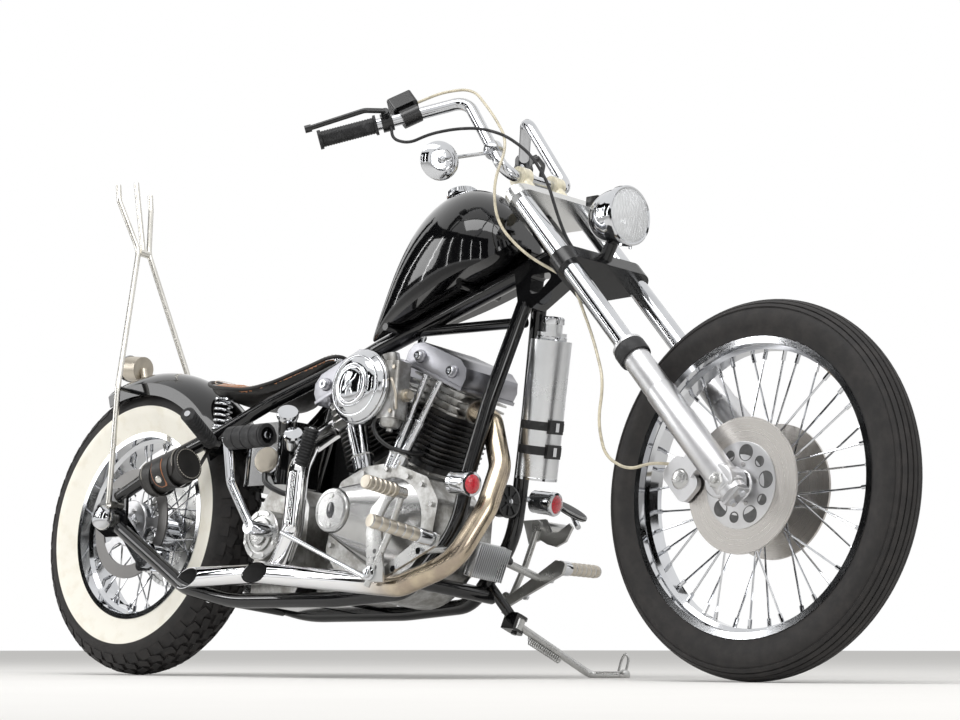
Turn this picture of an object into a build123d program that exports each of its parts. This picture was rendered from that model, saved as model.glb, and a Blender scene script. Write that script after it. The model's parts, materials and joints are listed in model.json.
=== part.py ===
from build123d import *
import math
import os

# Chopper motorcycle with a rigid frame and a V-twin engine, parked on its side stand.
# Everything is drawn on the upright machine: X forward, Y to the left, Z up,
# millimetres, from the ground below the rear axle. The last section leans it to the left.

# Stance
wheelbase = 1737
lean_angle = 7.12
steer_angle = -3.75
rake_angle = 43.0
fork_offset = 45
running_gap = 0.3

# Front wheel
front_tyre_radius = 355
front_crown = 42
front_rim_radius = 280
front_rim_half = 33
front_hub_half = 46
front_hub_radius = 24
front_flange_radius = 36
disc_radius = 127
disc_thickness = 5

# Rear wheel
rear_tyre_radius = 340
rear_crown = 64
rear_rim_radius = 218
rear_rim_half = 47
rear_hub_half = 62
rear_hub_radius = 30
rear_flange_radius = 52
sprocket_radius = 118
sprocket_y = 75
sprocket_thickness = 6

# Spokes, both wheels
spoke_pairs = 20
spoke_radius = 2.0
spoke_sweep = 54
spoke_lace = 5

# Axles
axle_radius = 9.5
axle_gap = 0.8
front_axle_half = 118
rear_axle_half = 150

# Frame tubes
tube_radius = 16
backbone_radius = 20
neck_radius = 27
neck_clearance = 6
rail_y = 120
rail_height = 149
axle_plate_thickness = 8

# Fork, heights measured up the steering axis from the front axle
leg_y = 95
slider_radius = 27
slider_top = 345
slider_foot = 34
tube_foot = 200
collar_radius = 31
collar_top = 377
fork_tube_radius = 20.5
fork_tube_stand = 6
lower_tree_height = 610
lower_tree_depth = 36
upper_tree_height = 824
upper_tree_depth = 20
stem_radius = 13
stem_stand = 14
bar_radius = 12.7
riser_y = 48
bar_rise = 64
bar_forward = 51
bar_bend = 34
grip_radius = 16.5
grip_length = 122
lamp_radius = 61
lamp_depth = 92
mirror_radius = 40

# Engine: two cylinders at 45 degrees on one crank
crank_x = 826
crank_z = 300
cylinder_angle = 22.5
case_radius = 146
deck_height = 150
cylinder_top = 274
head_top = 334
bore_radius = 54
fin_thickness = 3.2
cylinder_fins = 9
head_fins = 4

# Exhaust
pipe_radius = 22.5
pipe_wall = 1.6
pipe_open = 150

# Seat and rear fender
fender_gap = 22
fender_half = 78
fender_thickness = 3
seat_thickness = 16

right = -1
left = 1
sides = (right, left)
banks = (1, -1)


def rod(start, end, radius):
    axis = Vector(*end) - Vector(*start)
    seat = Plane(origin=start, z_dir=axis)
    return seat * Cylinder(radius, axis.length, align=(Align.CENTER, Align.CENTER, Align.MIN))


def upright(x, y, low, high, radius):
    return Pos(x, y, low) * Cylinder(radius, high - low, align=(Align.CENTER, Align.CENTER, Align.MIN))


def hex_rod(start, end, radius):
    axis = Vector(*end) - Vector(*start)
    return extrude(Plane(origin=start, z_dir=axis) * RegularPolygon(radius, 6), amount=axis.length)


def bent_tube(points, radius, bend):
    path = FilletPolyline(*points, radius=bend)
    section = Plane(origin=path @ 0, z_dir=path % 0) * Circle(radius)
    return sweep(section, path=path)


def bent_pipe(points, radius, wall, bends):
    # a pipe whose last run is open to its straight-cut end
    mouth = Vector(*points[-1])
    inward = (Vector(*points[-2]) - mouth).normalized()
    return bent_tube(points, radius, bends) - rod(mouth - inward, mouth + inward * pipe_open, radius - wall)


def across(face, low, high):
    # a side-view face, drawn as x and z, made solid from y = low to y = high
    return extrude(Plane.XZ.offset(-high) * face, amount=high - low)


def side_polygon(points, radius=0):
    face = make_face(Polyline(*points, close=True))
    return fillet(face.vertices(), radius) if radius else face


def y_disc(x, z, radius, low, high):
    return across(Pos(x, z) * Circle(radius), low, high)


def dome(radius, low, rise):
    # a cap of a sphere, from its rim at height low up to its crown, as an edge in x and z
    ball = (radius ** 2 + rise ** 2) / (2 * rise)
    half_turn = math.atan2(radius, ball - rise) / 2
    centre = low + rise - ball
    return ThreePointArc((radius, low), (ball * math.sin(half_turn), centre + ball * math.cos(half_turn)),
                         (0, low + rise))


def capped_disc(radius, depth, rise):
    # a round disc of the given depth with a domed face
    profile = make_face([Line((0, 0), (radius, 0)), Line((radius, 0), (radius, depth)),
                         dome(radius, depth, rise), Line((0, depth + rise), (0, 0))])
    return revolve(Plane.XZ * profile, Axis.Z)


def cope(shape, *others):
    # a part's end cut to the surfaces that it meets
    for other in others:
        shape = shape - other
    return shape


# Heights that follow from the fork's two trees
lower_tree_top = lower_tree_height + lower_tree_depth
upper_tree_top = upper_tree_height + upper_tree_depth
neck_bottom = lower_tree_top + neck_clearance
neck_top = upper_tree_height - neck_clearance
neck_middle = (neck_bottom + neck_top) / 2
fork_top = upper_tree_top + fork_tube_stand
bar_height = upper_tree_top + bar_rise

# Frames of reference
rake = math.radians(rake_angle)
lean = math.radians(lean_angle)
steer = math.radians(steer_angle)
axis_up = Vector(-math.sin(rake), 0, math.cos(rake))
axis_forward = Vector(math.cos(rake), 0, math.sin(rake))

rear_axle_height = rear_tyre_radius - rear_crown + rear_crown / math.cos(lean)

# The steered and leaned front wheel stands on the same ground as the rear one.
wheel_axis = Vector(0, 1, 0).rotate(Axis((0, 0, 0), axis_up), steer_angle)
wheel_axis = wheel_axis.rotate(Axis.X, -lean_angle)
wheel_drop = (front_tyre_radius - front_crown) * math.sqrt(1 - wheel_axis.Z ** 2) + front_crown
steer_shift_y = fork_offset * math.sin(steer)
steer_shift_z = fork_offset * (math.cos(steer) - 1) * axis_forward.Z
front_axle_height = (wheel_drop + math.sin(lean) * steer_shift_y) / math.cos(lean) - steer_shift_z

axle_point = Vector(wheelbase, 0, front_axle_height)
fork_origin = axle_point - axis_forward * fork_offset
fork_frame = Plane(origin=fork_origin, x_dir=axis_forward, z_dir=axis_up)
fork_place = fork_frame.location * Rot(Z=steer_angle)


def neck_point(height, forward=0):
    spot = fork_origin + axis_up * height + axis_forward * forward
    return (spot.X, 0, spot.Z)


# Wheels, drawn about the Y axis through the origin

def tyre(radius, crown, rim_radius, rim_half):
    wall = 9
    shoulder = math.radians(110)
    centre = radius - crown
    bead = rim_half - 3
    bead_radius = rim_radius - 8
    side_y = crown * math.sin(shoulder)
    side_r = centre + crown * math.cos(shoulder)
    inner = crown - wall
    inner_y = inner * math.sin(shoulder)
    inner_r = centre + inner * math.cos(shoulder)
    section = make_face([
        ThreePointArc((side_y, side_r), (0, radius), (-side_y, side_r)),
        Polyline((-side_y, side_r), (-bead, rim_radius + 2), (-bead, bead_radius),
                 (wall - bead, bead_radius), (-inner_y, inner_r)),
        ThreePointArc((-inner_y, inner_r), (0, radius - wall), (inner_y, inner_r)),
        Polyline((inner_y, inner_r), (bead - wall, bead_radius), (bead, bead_radius),
                 (bead, rim_radius + 2), (side_y, side_r)),
    ])
    return revolve(Plane.YZ * section, Axis.Y)


def rim(radius, half):
    # from the flange to the bead seat, down to the well, and back inside it
    outer = [(half, radius), (half - 3, radius), (half - 3, radius - 8), (half * 0.45, radius - 10),
             (half * 0.3, radius - 18)]
    inner = [(half * 0.3 + 2, radius - 21), (half * 0.45 + 2, radius - 13), (half, radius - 12)]
    section = outer + [(-y, r) for y, r in reversed(outer)]
    section += [(-y, r) for y, r in reversed(inner)] + inner
    return revolve(Plane.YZ * make_face(Polyline(*section, close=True)), Axis.Y)


def spokes(rim_radius, flange_radius, flange_y):
    laced = []
    for side in (right, left):
        for number in range(spoke_pairs):
            turn = spoke_sweep if number % 2 == 0 else -spoke_sweep
            hub_angle = math.radians(360 / spoke_pairs * (number + (0.5 if side == right else 0)))
            rim_angle = hub_angle + math.radians(turn)
            lace = spoke_lace if turn > 0 else -spoke_lace
            start = (flange_radius * math.cos(hub_angle), side * (flange_y + lace),
                     flange_radius * math.sin(hub_angle))
            end = (rim_radius * math.cos(rim_angle), side * (4 + lace * 0.3),
                   rim_radius * math.sin(rim_angle))
            laced.append(hex_rod(start, end, spoke_radius))
    return laced


def hub(radius, half, flange_radius, flange_y, bore):
    body = y_disc(0, 0, radius, -half, half)
    for side in (right, left):
        middle = side * flange_y
        body += y_disc(0, 0, flange_radius, middle - 5, middle + 5)
    return body - y_disc(0, 0, bore, -half - 1, half + 1)


def wire_wheel(rim_radius, rim_half, hub_radius, hub_half, flange_radius):
    flange_y = hub_half * 0.7
    bore = axle_radius + axle_gap
    body = rim(rim_radius, rim_half) + hub(hub_radius, hub_half, flange_radius, flange_y, bore)
    return body + spokes(rim_radius - 19, flange_radius - 5, flange_y)


def brake_disc(side, face_y, bore):
    low, high = sorted((side * face_y, side * (face_y + disc_thickness)))
    plate = y_disc(0, 0, disc_radius, low, high) - y_disc(0, 0, bore, low - 1, high + 1)
    holes = [Rot(Y=36 * step) * y_disc(43, 0, 9, low - 1, high + 1) for step in range(10)]
    return plate - holes


front_wheel = wire_wheel(front_rim_radius, front_rim_half, front_hub_radius, front_hub_half,
                         front_flange_radius)
front_tyre = tyre(front_tyre_radius, front_crown, front_rim_radius, front_rim_half)
front_discs = [brake_disc(side, front_hub_half, axle_radius + axle_gap) for side in sides]

rear_wheel = wire_wheel(rear_rim_radius, rear_rim_half, rear_hub_radius, rear_hub_half,
                        rear_flange_radius)
rear_tyre = tyre(rear_tyre_radius, rear_crown, rear_rim_radius, rear_rim_half)
sprocket = y_disc(0, 0, sprocket_radius, sprocket_y, sprocket_y + sprocket_thickness)
sprocket += y_disc(0, 0, rear_flange_radius - 6, rear_hub_half, sprocket_y)
sprocket -= y_disc(0, 0, axle_radius + axle_gap, rear_hub_half - 1, sprocket_y + 10)
rear_disc = brake_disc(right, rear_hub_half, axle_radius + axle_gap)

# Fork, drawn in the fork's own frame: X forward of the steering axis, Z up along it

front_axle = rod((fork_offset, -front_axle_half, 0), (fork_offset, front_axle_half, 0), axle_radius)


def slider(side):
    centre = (fork_offset, side * leg_y)
    body = upright(*centre, -slider_foot, slider_top, slider_radius)
    collar = upright(*centre, slider_top, collar_top, collar_radius)
    socket = upright(*centre, tube_foot, tube_foot + 300, fork_tube_radius)
    return body + collar - socket - front_axle


def fork_tube(side):
    return upright(fork_offset, side * leg_y, tube_foot, fork_top, fork_tube_radius)


def tree(low, depth, nose):
    # a plate round both fork tubes and the stem, with a nose on the steering axis
    plan = Pos(nose, 0) * Circle(stem_radius + 14) + Pos(fork_offset, 0) * Rectangle(60, 2 * leg_y)
    plan += [Pos(fork_offset, side * leg_y) * Circle(fork_tube_radius + 9) for side in sides]
    plate = Pos(0, 0, low) * extrude(make_hull(plan.edges()), amount=depth)
    return plate - [fork_tube(side) for side in sides]


fork_trees = tree(lower_tree_height, lower_tree_depth, 0)
fork_trees += tree(upper_tree_height, upper_tree_depth, 0)
fork_trees += upright(0, 0, lower_tree_height, upper_tree_top + stem_stand, stem_radius)

fork_sliders = [slider(side) for side in sides]
fork_tubes = [fork_tube(side) for side in sides]

# Handlebar: up from the risers, back and out to the grips
bar_corner = (bar_forward, 95, bar_height)
bar_top = (74, 88, bar_height + 219)
grip_end = Vector(-150, 300, bar_height + 294)
grip_start = grip_end + (Vector(*bar_top) - grip_end).normalized() * grip_length
half_bar = [bar_corner, bar_top, tuple(grip_end)]
right_bar = [(x, -y, z) for x, y, z in half_bar]
handlebar = bent_tube(list(reversed(right_bar)) + half_bar, bar_radius, bar_bend)


def riser(side):
    foot = upright(bar_forward, side * riser_y, upper_tree_top, bar_height - bar_radius - 4, 13)
    middle = side * riser_y
    clamp = rod((bar_forward, middle - 13, bar_height), (bar_forward, middle + 13, bar_height), 22)
    bar = rod((bar_forward, -90, bar_height), (bar_forward, 90, bar_height), bar_radius)
    return foot + clamp - bar


def grip(side):
    start = Vector(grip_start.X, side * grip_start.Y, grip_start.Z)
    end = Vector(grip_end.X, side * grip_end.Y, grip_end.Z)
    along = (end - start).normalized()
    sleeve = rod(start, end + along * 4, grip_radius)
    sleeve += rod(end - along * 3, end + along * 4, grip_radius + 4)
    sleeve += rod(start, start + along * 5, grip_radius + 5)
    return sleeve - rod(start - along, end, bar_radius)


risers = [riser(side) for side in sides]
grips = [grip(side) for side in sides]


def hand_lever(side):
    # a perch clamped on the bar inboard of the grip, with its lever in front of the grip
    end = Vector(grip_end.X, side * grip_end.Y, grip_end.Z)
    start = Vector(grip_start.X, side * grip_start.Y, grip_start.Z)
    along = (end - start).normalized()
    ahead = Vector(0, 0, 1).cross(along) * (side * -1)
    ahead = ahead.normalized()
    clamp = rod(start - along * 34, start - along * 10, bar_radius + 7)
    pivot = start - along * 22 + ahead * 34
    clamp += rod(start - along * 22, pivot, 9)
    clamp -= rod(start - along * 40, start, bar_radius)
    lever = bent_tube([pivot, pivot + along * 40 + ahead * 16, pivot + along * 165 + ahead * 6], 5.5, 30)
    tip = pivot + along * 165 + ahead * 6
    return clamp + lever + rod(tip - along * 9, tip + along * 5, 8)


def master_cylinder():
    start = Vector(grip_start.X, -grip_start.Y, grip_start.Z)
    end = Vector(grip_end.X, -grip_end.Y, grip_end.Z)
    along = (end - start).normalized()
    seat = Plane(origin=start - along * 72, x_dir=along, z_dir=Vector(0, 0, 1))
    body = seat * Cylinder(bar_radius + 7, 40, rotation=(0, 90, 0))
    box = seat * Pos(0, 0, 37) * Box(56, 38, 34)
    box = fillet(box.edges().filter_by(Axis.Z), 6)
    neck = seat * Pos(0, 0, 15) * Box(26, 20, 12)
    return body + box + neck - rod(start - along * 120, start, bar_radius)


hand_controls = [hand_lever(side) for side in sides] + [master_cylinder()]

# Headlamp on its arm from the lower tree, lens square to the machine's forward axis
lamp_centre = Vector(169.3077, 0, 665.5630)
lamp_ahead = Vector(math.cos(rake), 0, -math.sin(rake))
lamp_seat = Plane(origin=lamp_centre, z_dir=lamp_ahead)
lamp_rim = 16
lens_gap = 0.2
headlamp = lamp_seat * Rot(X=180) * capped_disc(lamp_radius, lamp_rim, lamp_depth - lamp_rim)
headlamp_lens = lamp_seat * Pos(0, 0, lens_gap) * capped_disc(lamp_radius - 6, 3, 12)
lamp_arm_reach = Vector(57.3077, 0, 15.5630)
lamp_arm = rod((fork_offset, 0, lower_tree_height + 16), lamp_centre - lamp_arm_reach, 13)
fork_trees = fork_trees + lamp_arm - headlamp

# Round mirror on a stem clamped to the right riser bend
mirror_clamp = (54, -93, bar_height + 67)
mirror_middle = Vector(*mirror_clamp) + Vector(-51.5936, -157, -28.0050)
mirror_face = Vector(-0.9, 0.3, 0.3)
mirror_seat = Plane(origin=mirror_middle, z_dir=mirror_face)
mirror_body = mirror_seat * Cylinder(mirror_radius, 12)
mirror_stem = rod(mirror_clamp, mirror_middle, 4)

# Front brake callipers behind the sliders
calliper_height = 104
calliper_gap = 5


def calliper(side):
    inner = front_hub_half - 10
    outer = leg_y - slider_radius - running_gap
    middle = side * (inner + outer) / 2
    shape = Pos(-42, middle, calliper_height) * Box(58, outer - inner, 84)
    shape = fillet(shape.edges().filter_by(Axis.Y), 18)
    disc_middle = side * (front_hub_half + disc_thickness / 2)
    slot = Pos(fork_offset, disc_middle, 0) * Cylinder(
        disc_radius + calliper_gap, disc_thickness + 2 * calliper_gap, rotation=(90, 0, 0))
    lug_inner = front_hub_half + disc_thickness + calliper_gap
    lug = Pos(15, side * (lug_inner + 9), calliper_height) * Box(70, 18, 40)
    return shape - slot + lug - slider(side)


front_brakes = [calliper(side) for side in sides]

# Brake hose from the master cylinder to the lower tree and on to the right calliper, and the
# throttle cable, all held on the fork
hose_radius = 3
cable_radius = 3.2
upper_hose_route = [(8, -150, bar_height + 276), (50, -112, bar_height + 272), (100, -84, bar_height + 232),
                    (102, -84, bar_height + 132), (98, -98, bar_height + 42), (34, -132, upper_tree_top + 40),
                    (-14, -130, upper_tree_top - 32), (-18, -100, lower_tree_top + 80),
                    (4, -66, lower_tree_top)]
lower_hose_route = [(14, -64, lower_tree_height), (4, -70, lower_tree_height - 54), (-8, -90, 458),
                    (-28, -118, 352), (-82, -133, 288), (-112, -130, 226), (-98, -112, 178), (-62, -84, 166),
                    (-42, -60, 145)]
cable_route = [(-46, -205, bar_height + 242), (-54, -216, bar_height + 204), (-33, -208, bar_height + 166),
               (11, -190, bar_height + 149), (53, -167, bar_height + 121), (89, -144, bar_height + 86),
               (114, -121, bar_height + 39), (126, -102, bar_height - 30), (112, -88, upper_tree_top - 41),
               (82, -75, lower_tree_top + 102), (58, -60, lower_tree_top + 54), (52, -52, lower_tree_top)]


def soft_bends(route):
    # each bend as wide as the shorter of its two runs allows
    points = [Vector(*point) for point in route]
    bends = []
    for before, here, after in zip(points, points[1:], points[2:]):
        half_turn = math.radians((here - before).get_angle(after - here) / 2)
        shorter = min((here - before).length, (after - here).length)
        bends.append(0.45 * shorter / math.tan(half_turn))
    return bends


def hose(route, radius, *ends):
    # a hose coped to what it meets, without the slivers past its ends
    tube = bent_tube(route, radius, soft_bends(route))
    return max(cope(tube, *ends).solids(), key=lambda solid: solid.volume)


brake_hose = [hose(upper_hose_route, hose_radius, hand_controls[2], fork_trees),
              hose(lower_hose_route, hose_radius, *front_brakes, fork_trees)]
throttle_cable = hose(cable_route, cable_radius, hand_controls[0], fork_trees)

fork_nodes = {
    "front_axle": front_axle,
    "fork_sliders": fork_sliders,
    "fork_tubes": fork_tubes,
    "fork_trees": fork_trees,
    "risers": risers,
    "handlebar": handlebar,
    "grips": grips,
    "hand_controls": hand_controls,
    "headlamp": headlamp,
    "headlamp_lens": headlamp_lens,
    "mirror": mirror_body + mirror_stem - handlebar,
    "front_brakes": front_brakes,
    "brake_hose": brake_hose,
    "throttle_cable": throttle_cable,
}

# Frame: steering head, backbone, brace and seat post on the centre line

neck = rod(neck_point(neck_bottom), neck_point(neck_top), neck_radius)
stem_bore = rod(neck_point(neck_bottom - 5), neck_point(neck_top + 5), stem_radius + running_gap)
backbone_points = [neck_point(neck_middle + 3), (715, 0, 712), (598, 0, 668)]
seat_post_foot = (532, 0, 404)
gusset_face = side_polygon([neck_point(neck_bottom + 16)[::2], neck_point(neck_middle)[::2],
                            (1092, 836), (1112, 752), (1150, 752)])
gusset_window = side_polygon([(1205, 822), (1140, 822), (1140, 782), (1165, 782)], 8)
gusset = across(gusset_face, -20, 20) - across(gusset_window, -21, 21)
frame_backbone = neck + bent_tube(backbone_points, backbone_radius, 60) + gusset
frame_backbone += rod((592, 0, 660), seat_post_foot, tube_radius)
frame_backbone += rod((1116, 0, 729), (790, 0, 736), 11)
frame_backbone -= stem_bore

# Each side of the cradle: downtube, bend, bottom rail, up to the axle plate
cradle = [(1131, 22, 762), (1092, 61, 555), (1067, 80, 400), (1056, 84, 290), (943, 96, 162),
          (744, 106, rail_height), (434, 116, rail_height), (281, rail_y, 180), (30, rail_y, 320)]
cradle_bends = [300, 300, 160, 90, 500, 500, 120]
stay = [(612, 26, 668), (450, 80, 588), (310, 110, 514), (207, rail_y, 476), (14, rail_y, 392)]
stay_bends = [220, 260, 200]
plate_outline = [(-60, 325), (-60, 372), (-10, 412), (42, 412), (52, 330), (40, 300), (-14, 300)]


def on_side(points, side):
    return [(x, side * y, z) for x, y, z in points]


def axle_plate(side):
    half = axle_plate_thickness / 2
    low, high = sorted((side * (rail_y - half), side * (rail_y + half)))
    plate = across(side_polygon(plate_outline, 10), low, high)
    return plate - y_disc(0, rear_axle_height, axle_radius, low - 1, high + 1)


def cradle_side(side):
    return cope(bent_tube(on_side(cradle, side), tube_radius, cradle_bends), frame_backbone)


def stay_side(side):
    plate = axle_plate(side)
    return cope(bent_tube(on_side(stay, side), tube_radius - 1, stay_bends) + plate, frame_backbone)


frame_stays = {side: stay_side(side) for side in sides}
frame_cradles = {side: cope(cradle_side(side), frame_stays[side]) for side in sides}

# Cross members between the rails
cross_tubes = [((985, 182), 16), ((352, 160), 13)]
frame_cross = [rod((x, -110, z), (x, 110, z), radius) for (x, z), radius in cross_tubes]
frame_cross += [across(Pos(650, rail_height + 4) * Rectangle(90, 8), -112, 112),
                across(Pos(520, rail_height + 4) * Rectangle(130, 8), -114, 114)]
frame_cross = [cope(member, *frame_cradles.values()) for member in frame_cross]

# Engine, in the plane of its cylinders

def bank(lean_side):
    # a frame at the crank with Z along a cylinder: +1 leans forward, -1 back
    return Location((crank_x, 0, crank_z)) * Rot(Y=lean_side * cylinder_angle)


deck_width = 124
vee_gap = 1.5
case_centre = (crank_x + 8, crank_z - 4)
timing_case = [(705, 250), (730, 395), (800, 425), (880, 430), (985, 395), (1020, 345), (1010, 265),
               (960, 212), (900, 186), (760, 186)]
crankcase = y_disc(*case_centre, case_radius, -70, 70)
crankcase += across(side_polygon(timing_case, 20), -110, -30)
crankcase += across(side_polygon([(930, 180), (1034, 250), (1034, 350), (960, 380)], 12), -40, 40)
crankcase += across(side_polygon([(640, 157), (640, 190), (712, 300), (800, 300), (760, 157)], 8), -62, 62)
crankcase += y_disc(crank_x, crank_z, 78, 60, 92)
for way in banks:
    deck = bank(way) * Pos(0, 0, (deck_height + 70) / 2) * Box(deck_width, 124, deck_height - 70)
    crankcase += deck

port_y = -24
port_height = cylinder_top + 26
port_reach = 88
port_tilt = math.radians(cylinder_angle)


def port_point(way, reach):
    # a place out along the port's own line from the cylinder's axis
    x = math.sin(port_tilt) * port_height + math.cos(port_tilt) * reach
    z = math.cos(port_tilt) * port_height - math.sin(port_tilt) * reach
    return (crank_x + way * x, port_y, crank_z + z)


def fin_plate(width, depth, height):
    plate = Pos(0, 0, height) * Box(width, depth, fin_thickness)
    return fillet(plate.edges().filter_by(Axis.Z), 22)


def cylinder_barrel(way):
    barrel = upright(0, 0, deck_height, cylinder_top, bore_radius + 6)
    base = Pos(0, 0, deck_height + 6) * Box(deck_width - 4, 118, 12)
    barrel += fillet(base.edges().filter_by(Axis.Z), 18)
    pitch = (cylinder_top - deck_height - 24) / cylinder_fins
    for number in range(cylinder_fins):
        barrel += fin_plate(148, 140, deck_height + 22 + pitch * number)
    other_side = Pos(crank_x - way * (200 - vee_gap), 0, crank_z + 300) * Box(400, 300, 600)
    return bank(way) * barrel - other_side


def cylinder_head(way):
    body = Pos(0, 0, cylinder_top) * Box(128, 112, head_top - cylinder_top,
                                         align=(Align.CENTER, Align.CENTER, Align.MIN))
    body = fillet(body.edges().filter_by(Axis.Z), 26)
    pitch = (head_top - cylinder_top) / head_fins
    for number in range(head_fins):
        body += fin_plate(164, 150, cylinder_top + pitch * (number + 0.4))
    # exhaust port, out of the far side from the other cylinder
    port = Pos(way * (port_reach - 28), port_y, port_height) * Cylinder(26, 56, rotation=(0, 90, 0))
    return bank(way) * (body + port)


rocker_outline = [(-90, 0), (-90, 34), (-62, 54), (62, 54), (90, 34), (90, 0)]


def rocker_box(way):
    face = make_face(Polyline(*rocker_outline, close=True))
    face = fillet(face.vertices().group_by(Axis.Y)[-1], 16)
    body = across(Pos(0, head_top) * face, -96, 66)
    return bank(way) * body


cylinders = [cylinder_barrel(way) for way in banks]
heads = [cylinder_head(way) for way in banks]
rocker_boxes = [rocker_box(way) for way in banks]

# Cam cover: a cone from the timing case out to the round points cover
points_centre = (800, 320)
points_radius = 46
cone_base = Plane.XZ.offset(110) * Pos(880, 302) * Circle(98)
cone_end = Plane.XZ.offset(186) * Pos(*points_centre) * Circle(points_radius)
cam_cover = loft([cone_base, cone_end])
cam_cover += y_disc(*points_centre, points_radius - 3, -193, -186)

# Pushrod tubes: bank, foot and head of each, on the right side
pushrod_table = [
    (1, (872, -98, 440), (940, -84, 640)),
    (1, (894, -98, 436), (985, -84, 622)),
    (-1, (792, -98, 440), (722, -84, 640)),
    (-1, (770, -98, 436), (676, -84, 622)),
]
pushrods = []
for way, foot, top in pushrod_table:
    along = (Vector(*top) - Vector(*foot)).normalized()
    tube = rod(foot, top, 7.5) + rod(foot, Vector(*foot) + along * 90, 10)
    tube += rod(Vector(*foot) - along * 20, Vector(*foot) + along * 12, 15)
    above_head = bank(way) * Pos(0, 0, head_top + 100) * Box(300, 300, 200)
    pushrods.append(tube - above_head - crankcase)

# Carburettor and air cleaner
carb_body = fillet(Box(58, 50, 120).edges().filter_by(Axis.Z), 12)
carburettor = Pos(882, -130, 575) * carb_body
carburettor += rod((853, -126, 575), (833, -126, 575), 19)
carburettor += rod((833, -139, 575), (826, -4, 566), 19)
carburettor += rod((872, -130, 630), (866, -132, 652), 20)
manifold = cope(rod((760, -24, 572), (892, -24, 572), 17), *heads, *cylinders, carburettor)
carburettor += max(manifold.solids(), key=lambda solid: solid.volume)
cleaner_centre = (819, 582)
cleaner_radius = 78
cleaner_seat = Plane(origin=(cleaner_centre[0], -155.3, cleaner_centre[1]), z_dir=(0, -1, 0))
air_cleaner = cleaner_seat * capped_disc(cleaner_radius, 16, 26)

# Gearbox with its kick starter cover, and the primary case on the left
gearbox_outline = [(470, 157), (470, 350), (500, 390), (606, 390), (628, 350), (628, 200), (604, 157)]
gearbox_face = side_polygon(gearbox_outline, 12)
gearbox = across(gearbox_face, -96, 60)
gearbox += y_disc(545, 284, 54, -150, -90)
gearbox += y_disc(560, 300, 40, 60, 68)
kick_shaft = (572, 290)
kick_starter = y_disc(*kick_shaft, 15, -214, -150.3)
kick_starter += bent_tube([(572, -205, 290), (504, -214, 386), (499, -232, 478)], 10, [40])
kick_starter += rod((499, -234, 478), (512, -236, 478), 12)
kick_pedal = cope(rod((512, -236, 478), (632, -238, 478), 17), kick_starter)

primary_face = make_hull((Pos(crank_x, crank_z) * Circle(92) + Pos(568, 304) * Circle(84)).edges())
primary_case = fillet(across(primary_face, 92, 160).edges().group_by(Axis.Y)[-1], 16)

# Rear chain loop round both sprockets
front_sprocket_radius = 44
chain_centres = [((0, rear_axle_height), sprocket_radius), ((560, 300), front_sprocket_radius)]


def chain_hull(grow):
    rounds = Sketch() + [Pos(*centre) * Circle(radius + grow) for centre, radius in chain_centres]
    return make_hull(rounds.edges())


def chain_band(low, high, inner, outer):
    return across(chain_hull(outer), low, high) - across(chain_hull(inner), low - 1, high + 1)


chain_mid = sprocket_y + sprocket_thickness / 2
drive_chain = chain_band(chain_mid - 8, chain_mid - 4, -2, 13)
drive_chain += chain_band(chain_mid + 4, chain_mid + 8, -2, 13)
drive_chain += chain_band(chain_mid - 5, chain_mid + 5, 1, 10)
front_sprocket = y_disc(560, 300, front_sprocket_radius, sprocket_y, sprocket_y + sprocket_thickness)
front_sprocket += y_disc(560, 300, 26, 68, sprocket_y)

# Exhausts: down from the ports, under the cradle and back, cut off straight
front_route = [port_point(1, port_reach), port_point(1, port_reach + 50), (1122, -44, 420), (1132, -84, 330),
               (1104, -136, 214), (985, -162, 165), (587, -188, 196)]
rear_route = [port_point(-1, port_reach), port_point(-1, port_reach + 26), (612, -100, 478), (642, -150, 420),
              (642, -150, 290), (596, -140, 204), (352, -148, 200)]
exhaust_front = bent_pipe(front_route, pipe_radius, pipe_wall, [40, 80, 90, 90, 70])
exhaust_rear = bent_pipe(rear_route, pipe_radius, pipe_wall, [28, 60, 50, 60, 60])

# Fuel tank: a teardrop high at the front, its flat underside tilted with the backbone
tank_rear = (692, 716)
tank_tilt = 18.7
tank_place = Location((tank_rear[0], 0, tank_rear[1])) * Rot(Y=-tank_tilt)
tank_front_round = 8
# reach from the rear tip, half width, top and underside of each station
tank_stations = [
    (0, 17, 20, 0), (40, 40, 52, 0), (90, 62, 102, 0), (150, 83, 163, 0), (210, 98, 205, 0),
    (275, 108, 224, 0), (335, 110, 218, 0), (385, 100, 190, 2), (420, 80, 152, 12), (440, 52, 116, 30),
]


def tank_section(reach, half, top, low):
    # flat below, widest low on the flank, and one sweep over the top
    rise = top - low
    flank = [(half * 0.9, low), (half, low + rise * 0.22), (half * 0.86, low + rise * 0.62)]
    arch = Spline(*[(-y, z) for y, z in flank], (0, top), *reversed(flank))
    return Plane.YZ.offset(reach) * make_face([arch, Line((half * 0.9, low), (-half * 0.9, low))])


tank = loft([tank_section(*station) for station in tank_stations])
tank = fillet(tank.faces().sort_by(Axis.X)[-1].edges(), tank_front_round)
tunnel_half = backbone_radius + running_gap
tank_tunnel = Pos(230, 0, 0) * Box(520, 2 * tunnel_half, 70)
fuel_tank = tank_place * (tank - tank_tunnel) - rod(neck_point(600), neck_point(900), neck_radius + 6)
cap_place = Location((908, 0, 1012)) * Rot(Y=-14)
fuel_cap = cap_place * upright(0, 0, 0, 22, 31) - fuel_tank

# Solo seat on its springs
seat_half = 120
seat_line = [(580, 706), (500, 664), (372, 617), (206, 674)]
seat_dips = [(436, 633), (286, 630)]


def seat_curve(drop):
    # the seat's line from nose to tail, lowered by drop
    nose, front, low, tail = [(x, z - drop) for x, z in seat_line]
    first, second = [(x, z - drop) for x, z in seat_dips]
    return [Line(nose, front), ThreePointArc(front, first, low), ThreePointArc(low, second, tail)]


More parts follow.
